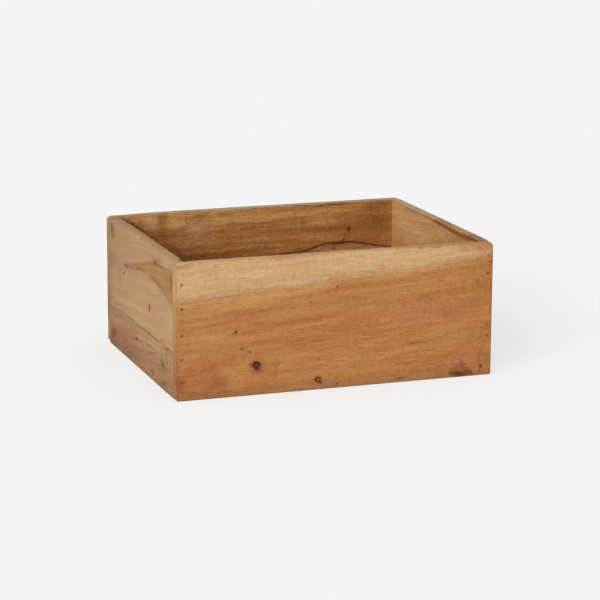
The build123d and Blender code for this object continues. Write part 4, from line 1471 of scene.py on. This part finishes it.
right_patches = [
    ("faint", 0.3, 0.9, 84, 3, 40, 4),
    ("pale", 0.4, 0.9, 36, 31.5, 36, 5, 6),
    ("faint", 0.2, 0.9, 28, 24.5, 28, 2.6, 6),
    ("pale", 0.3, 0.9, 24, 10, 28, 9, 6),
    ("orange", 0.55, 0.9, 20, 42, 20, 6, 6),
    ("olive", 0.4, 0.8, 36, 1.6, 40, 2.2),
    ("rose", 0.2, 0.9, 132, 9, 16, 4, 6),
    ("faint", 0.4, 0.9, 180, 9, 26, 4, 8),
    ("yellow", 0.4, 0.9, 168, 9, 14, 3, 6),
    ("faint", 0.25, 0.9, 84, 14.5, 34, 3),
    ("orange", 0.3, 0.8, 104, 3.5, 14, 1.8),
    ("weathered", 0.75, 0.6, 100, -0.3, 160, 1.0),
    ("orange", 0.35, 0.7, 178, -0.2, 52, 1.2),
    ("heart", 0.45, 0.6, 140, 1.0, 24, 1.4),
    ("heart", 0.45, 0.6, 212, 1.4, 20, 2.2),
    ("heart", 0.25, 0.8, 210, 5.2, 18, 1.6),
]
for node, seed, lines, patches in (
    ("right_end_upper_board", 12.0, right_lines, right_patches),
    ("right_end_lower_board", 14.0, (), ()),
):
    wood = board_wood(
        node + "_wood",
        along=(0, -1, 0),
        out=(-1, 0, 0),
        origin=(right_low.x, back_low.y, right_high.z),
        tones=right_tones,
        grain=right_grain | {"seed": seed},
        texture=1.0,
        lines=lines,
        patches=patches,
    )
    wear = end_wear | {"Rim wear": 2.2 * MM, "Seed": seed}
    board = worn_board(node, (0, 1, 0), (1, 0, 0), wood, wear, ("right_bottom_nails",))
    finish_piece(board, "right_wood", node)

# Bottom
# Two boards laid lengthwise in between the walls, level with their lower edges, with a narrow gap
# between them. They are nailed through the walls, and are duller than the rest.

bottom_tones = front_tones | shades(
    light=(180, 132, 84), dark=(156, 108, 66), warm=(168, 114, 70), gold=(172, 126, 76),
    rim=(255, 255, 255), streak=(130, 84, 48),
)
bottom_grain = {"pith_across": 60.0, "pith_depth": -90.0, "ring_width": 6.0, "slope": 0.01}
bottom_lines = [
    ("streak", 0.5, 1.4, [(20, 30), (80, 27), (160, 31), (230, 28)]),
    ("faint", 0.6, 1.8, [(120, 64), (190, 62), (290, 66)]),
    ("streak", 0.45, 1.2, [(30, 88), (110, 84), (180, 86)]),
]
bottom_patches = [
    ("plum", 0.3, 0.9, 70, 50, 26, 14, 10),
    ("grey", 0.3, 0.9, 220, 84, 40, 16, -6),
]
bottom_knots = [((196, 44), (4.2, 3.4), 10, 0.9, (0.4, 0.85, 0.8, "knot"))]
for node, seed, knots in (("bottom_front_board", 51.0, bottom_knots), ("bottom_back_board", 57.0, ())):
    low, high = (Vector(corner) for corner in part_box(node))
    wood = board_wood(
        node + "_wood",
        along=(1, 0, 0),
        out=(0, 0, 1),
        origin=(low.x, high.y, high.z),
        tones=bottom_tones,
        grain=bottom_grain | {"seed": seed},
        texture=1.4,
        lines=bottom_lines,
        patches=bottom_patches,
        knots=knots,
    )
    wear = {title: 0.5 * MM for title in ("Side wear", "Rim wear", "Foot wear", "Inner rim wear")}
    wear |= {"Rim wave": 0.0, "Warp": 0.3 * MM, "Seed": seed}
    finish_piece(worn_board(node, (1, 0, 0), (0, 0, 1), wood, wear), "bottom_wood", node)

# Nails
# Small steel nails with flat round heads, driven just below the surface by hand, so that no two
# stand quite alike. Their heads are brown with rust, some more than others.


def make_nail_tree():
    """Sets a nail at each point, turned out of the face, each a little differently."""
    inputs = {"Geometry": "Geometry", "Nail": "Object", "Turn": "Vector"}
    inputs |= {"Tilt": "Float", "Seed": "Int", "Steel": "Material"}
    w, given, out = new_tree("GeometryNodeTree", "driven_nails", inputs, {"Geometry": "Geometry"})
    nail = w.node("GeometryNodeObjectInfo", {"Object": given["Nail"]})
    placed = w.node(
        "GeometryNodeInstanceOnPoints",
        {"Points": given["Geometry"], "Instance": nail.outputs["Geometry"], "Rotation": given["Turn"]},
    )
    tilt = given["Tilt"]
    back = w.math("MULTIPLY", tilt, -1.0)
    spin = w.node("FunctionNodeRandomValue", {"Seed": given["Seed"]}, data_type="FLOAT_VECTOR")
    w.feed(spin.inputs["Min"], w.join(back, back, 0.0))
    w.feed(spin.inputs["Max"], w.join(tilt, tilt, math.tau))
    turned = w.node(
        "GeometryNodeRotateInstances",
        {"Instances": placed.outputs[0], "Rotation": spin.outputs[0], "Local Space": True},
    )
    share = w.node("FunctionNodeRandomValue", data_type="FLOAT")
    other_draw = 40.0
    w.feed(share.inputs["Seed"], w.add(given["Seed"], other_draw))
    named = {"Geometry": turned.outputs[0], "Name": "tarnish", "Value": share.outputs[1]}
    aged = w.node("GeometryNodeStoreNamedAttribute", named, data_type="FLOAT", domain="INSTANCE")
    real = w.node("GeometryNodeRealizeInstances", {"Geometry": aged.outputs[0]})
    finish = w.node("GeometryNodeSetMaterial", {"Geometry": real.outputs[0], "Material": given["Steel"]})
    w.feed(out["Geometry"], finish.outputs[0])
    return w.tree


def nail_shape():
    """One nail, head up, with its head's outer face at the origin: a slightly dented, flat head."""
    head, shank, tip = 1.1, 0.7, 0.15
    under_head, point, end = -0.6, -27.6, -30.0
    # Radius and height of each ring, in millimetres: the head's first, then the shank's
    rings = [(0.35, -0.02), (0.8, -0.03), (1.0, -0.08), (head, -0.2), (head, -0.45)]
    dented_rings = len(rings)
    rings += [(0.98, under_head), (shank, under_head), (shank, point), (tip, end)]
    rings = [(radius * MM, height * MM) for radius, height in rings]
    sides = 20
    dents, dent_share = 3, 0.03
    points = [(0, 0, 0)]
    for number, (radius, height) in enumerate(rings):
        for side in range(sides):
            angle = math.tau * side / sides
            dented = 1 + dent_share * math.sin(dents * angle) if number < dented_rings else 1
            points.append((radius * dented * math.cos(angle), radius * dented * math.sin(angle), height))
    points.append((0, 0, rings[-1][1]))
    faces = []
    for side in range(sides):
        after = (side + 1) % sides
        faces.append((0, 1 + side, 1 + after))
        for number in range(len(rings) - 1):
            start = 1 + number * sides
            faces.append((start + after, start + side, start + sides + side, start + sides + after))
        start = 1 + (len(rings) - 1) * sides
        faces.append((len(points) - 1, start + after, start + side))
    mesh = bpy.data.meshes.new("nail_shape")
    mesh.from_pydata(points, [], faces)
    mesh.shade_smooth()
    return mesh


def make_steel():
    """Rusty steel, brown all over, and darker on some nails than on others."""
    material, w = new_material("rusty_steel")
    place = w.node("ShaderNodeTexCoord").outputs["Object"]
    rust = w.noise(place, scale=900.0, detail=3.0, roughness=0.6)
    tarnish = w.node("ShaderNodeAttribute", attribute_name="tarnish", attribute_type="GEOMETRY")
    bright = w.tint(w.ease(rust, 0.4, 0.65), seen(152, 98, 46), seen(176, 118, 60))
    dark = w.tint(w.ease(rust, 0.4, 0.65), seen(114, 64, 26), seen(138, 80, 34))
    colour = w.tint(tarnish.outputs["Fac"], bright, dark)
    given = {
        "Base Color": colour,
        "Roughness": w.ease(rust, 0.3, 0.7, 0.5, 0.85),
        "Metallic": w.ease(rust, 0.65, 0.4, 0.0, 0.3),
        "Specular IOR Level": 0.25,
    }
    bump = w.node("ShaderNodeBump", {"Height": rust, "Distance": 0.05 * MM, "Strength": 0.8})
    given["Normal"] = bump.outputs["Normal"]
    shader = w.node("ShaderNodeBsdfPrincipled", given)
    w.node("ShaderNodeOutputMaterial", {"Surface": shader.outputs["BSDF"]})
    return material


nail_tree = make_nail_tree()
furthest_tilt = math.radians(1.0)
nail_model = add_object("nail_model", nail_shape())
steel = make_steel()
ways_out = {"front": (0, -1, 0), "back": (0, 1, 0), "left": (-1, 0, 0), "right": (1, 0, 0)}
nail_groups = [
    ("front_left_nails", "front"),
    ("front_right_nails", "front"),
    ("front_bottom_nails", "front"),
    ("back_left_nails", "back"),
    ("back_right_nails", "back"),
    ("back_bottom_nails", "back"),
    ("left_bottom_nails", "left"),
    ("right_bottom_nails", "right"),
]
for number, (node, face) in enumerate(nail_groups):
    way = Vector(ways_out[face])
    heads = nail_heads(node, way)
    points = bpy.data.meshes.new(node + "_points")
    points.from_pydata([tuple(head) for head in heads], [], [])
    settings = {
        "Nail": nail_model,
        "Turn": way.to_track_quat("Z", "Y").to_euler(),
        "Tilt": furthest_tilt,
        "Seed": number,
        "Steel": steel,
    }
    nails = shape_with(nail_tree, "driven_" + node, points, settings)
    finish_piece(nails, "nail_steel", node)
bpy.data.objects.remove(nail_model)

# Floor, light and camera
# A plain pale floor that fades into the background, a soft light from the front and left, and the
# camera where the photograph was taken.

floor_radius = 1.6
floor_fades_from = 0.5
floor_fades_to = 0.95 * floor_radius
background = seen(244, 244, 244)
floor_colour = 0.5
floor_colour_seen = 0.34
floor_glow = 0.62
sky_strength = 0.55
key_strength = 2.4
key_elevation = math.radians(22)
key_azimuth = math.radians(-45)
key_angle = math.radians(45)

floor_mesh = bpy.data.meshes.new("floor")
floor_sides = 96
floor_angles = [math.tau * side / floor_sides for side in range(floor_sides)]
floor_points = [
    (floor_radius * math.cos(angle), floor_radius * math.sin(angle), 0.0) for angle in floor_angles
]
floor_mesh.from_pydata(floor_points, [], [list(range(floor_sides))])
floor = add_object("floor", floor_mesh)
floor_material, w = new_material("pale_floor")


def rays_to_eye(w):
    """1 for the rays that show the background: the camera's, and those off gloss or through glass."""
    rays = w.node("ShaderNodeLightPath").outputs
    direct = w.math("MAXIMUM", rays["Is Camera Ray"], rays["Is Glossy Ray"])
    return w.math("MAXIMUM", direct, rays["Is Transmission Ray"])


# The floor throws back half of the light. To the camera it throws back less and glows instead, so
# that the shadow on it is faint.
floor_shade = w.blend(rays_to_eye(w), floor_colour, floor_colour_seen)
diffuse = w.node("ShaderNodeBsdfDiffuse", {"Color": floor_shade})
glow_share = w.times(rays_to_eye(w), floor_glow)
glow = w.node("ShaderNodeEmission", {"Color": (1, 1, 1, 1), "Strength": glow_share})
lit = w.node("ShaderNodeAddShader", {0: diffuse.outputs[0], 1: glow.outputs[0]})
clear = w.node("ShaderNodeBsdfTransparent")
floor_place = w.node("ShaderNodeTexCoord").outputs["Object"]
rim_fade = w.ease(w.vector("LENGTH", floor_place), floor_fades_from, floor_fades_to)
fade = w.node("ShaderNodeMixShader", {0: rim_fade, 1: lit.outputs[0], 2: clear.outputs[0]})
w.node("ShaderNodeOutputMaterial", {"Surface": fade.outputs[0]})
floor_mesh.materials.append(floor_material)

world = bpy.data.worlds.new("studio")
bpy.context.scene.world = world
world.use_nodes = True
world.node_tree.nodes.clear()
w = Wires(world.node_tree)
sky = w.node("ShaderNodeBackground", {"Color": (1, 1, 1, 1), "Strength": sky_strength})
backdrop = w.node("ShaderNodeBackground", {"Color": background, "Strength": 1.0})
shown = w.node("ShaderNodeMixShader", {0: rays_to_eye(w), 1: sky.outputs[0], 2: backdrop.outputs[0]})
w.node("ShaderNodeOutputWorld", {"Surface": shown.outputs[0]})

key_data = bpy.data.lights.new("key", "SUN")
key_data.energy = key_strength
key_data.angle = key_angle
key = add_object("key", key_data)
to_key = Vector(
    (
        math.sin(key_azimuth) * math.cos(key_elevation),
        -math.cos(key_azimuth) * math.cos(key_elevation),
        math.sin(key_elevation),
    )
)
key.rotation_euler = to_key.to_track_quat("Z", "Y").to_euler()

# Where the photograph was taken from, solved from the box's edges in it
view_yaw = math.radians(-19.604)
view_pitch = math.radians(13.123)
view_roll = math.radians(0.292)
view_distance = 2.3125
view_side = -0.005672
view_down = -0.007237
photo_width = 600
focal_length_in_pixels = 2312.7
sensor_width = 36.0

object_middle = (Vector(cad_bounds[0]) + Vector(cad_bounds[1])) / 2
forward = Vector(
    (
        -math.sin(view_yaw) * math.cos(view_pitch),
        math.cos(view_yaw) * math.cos(view_pitch),
        -math.sin(view_pitch),
    )
)
right = Vector((math.cos(view_yaw), math.sin(view_yaw), 0.0))
up = right.cross(forward)
rolled_right = right * math.cos(view_roll) + up * math.sin(view_roll)
rolled_up = up * math.cos(view_roll) - right * math.sin(view_roll)
eye = object_middle - forward * view_distance - rolled_right * view_side + rolled_up * view_down
camera_data = bpy.data.cameras.new("camera")
camera_data.sensor_width = sensor_width
camera_data.lens = focal_length_in_pixels / photo_width * sensor_width
camera_data.clip_end = 100.0
camera = add_object("camera", camera_data)
turned = Matrix((rolled_right, rolled_up, -forward)).transposed()
camera.matrix_world = Matrix.Translation(eye) @ turned.to_4x4()
bpy.context.scene.camera = camera
bpy.context.scene.view_settings.view_transform = "Standard"
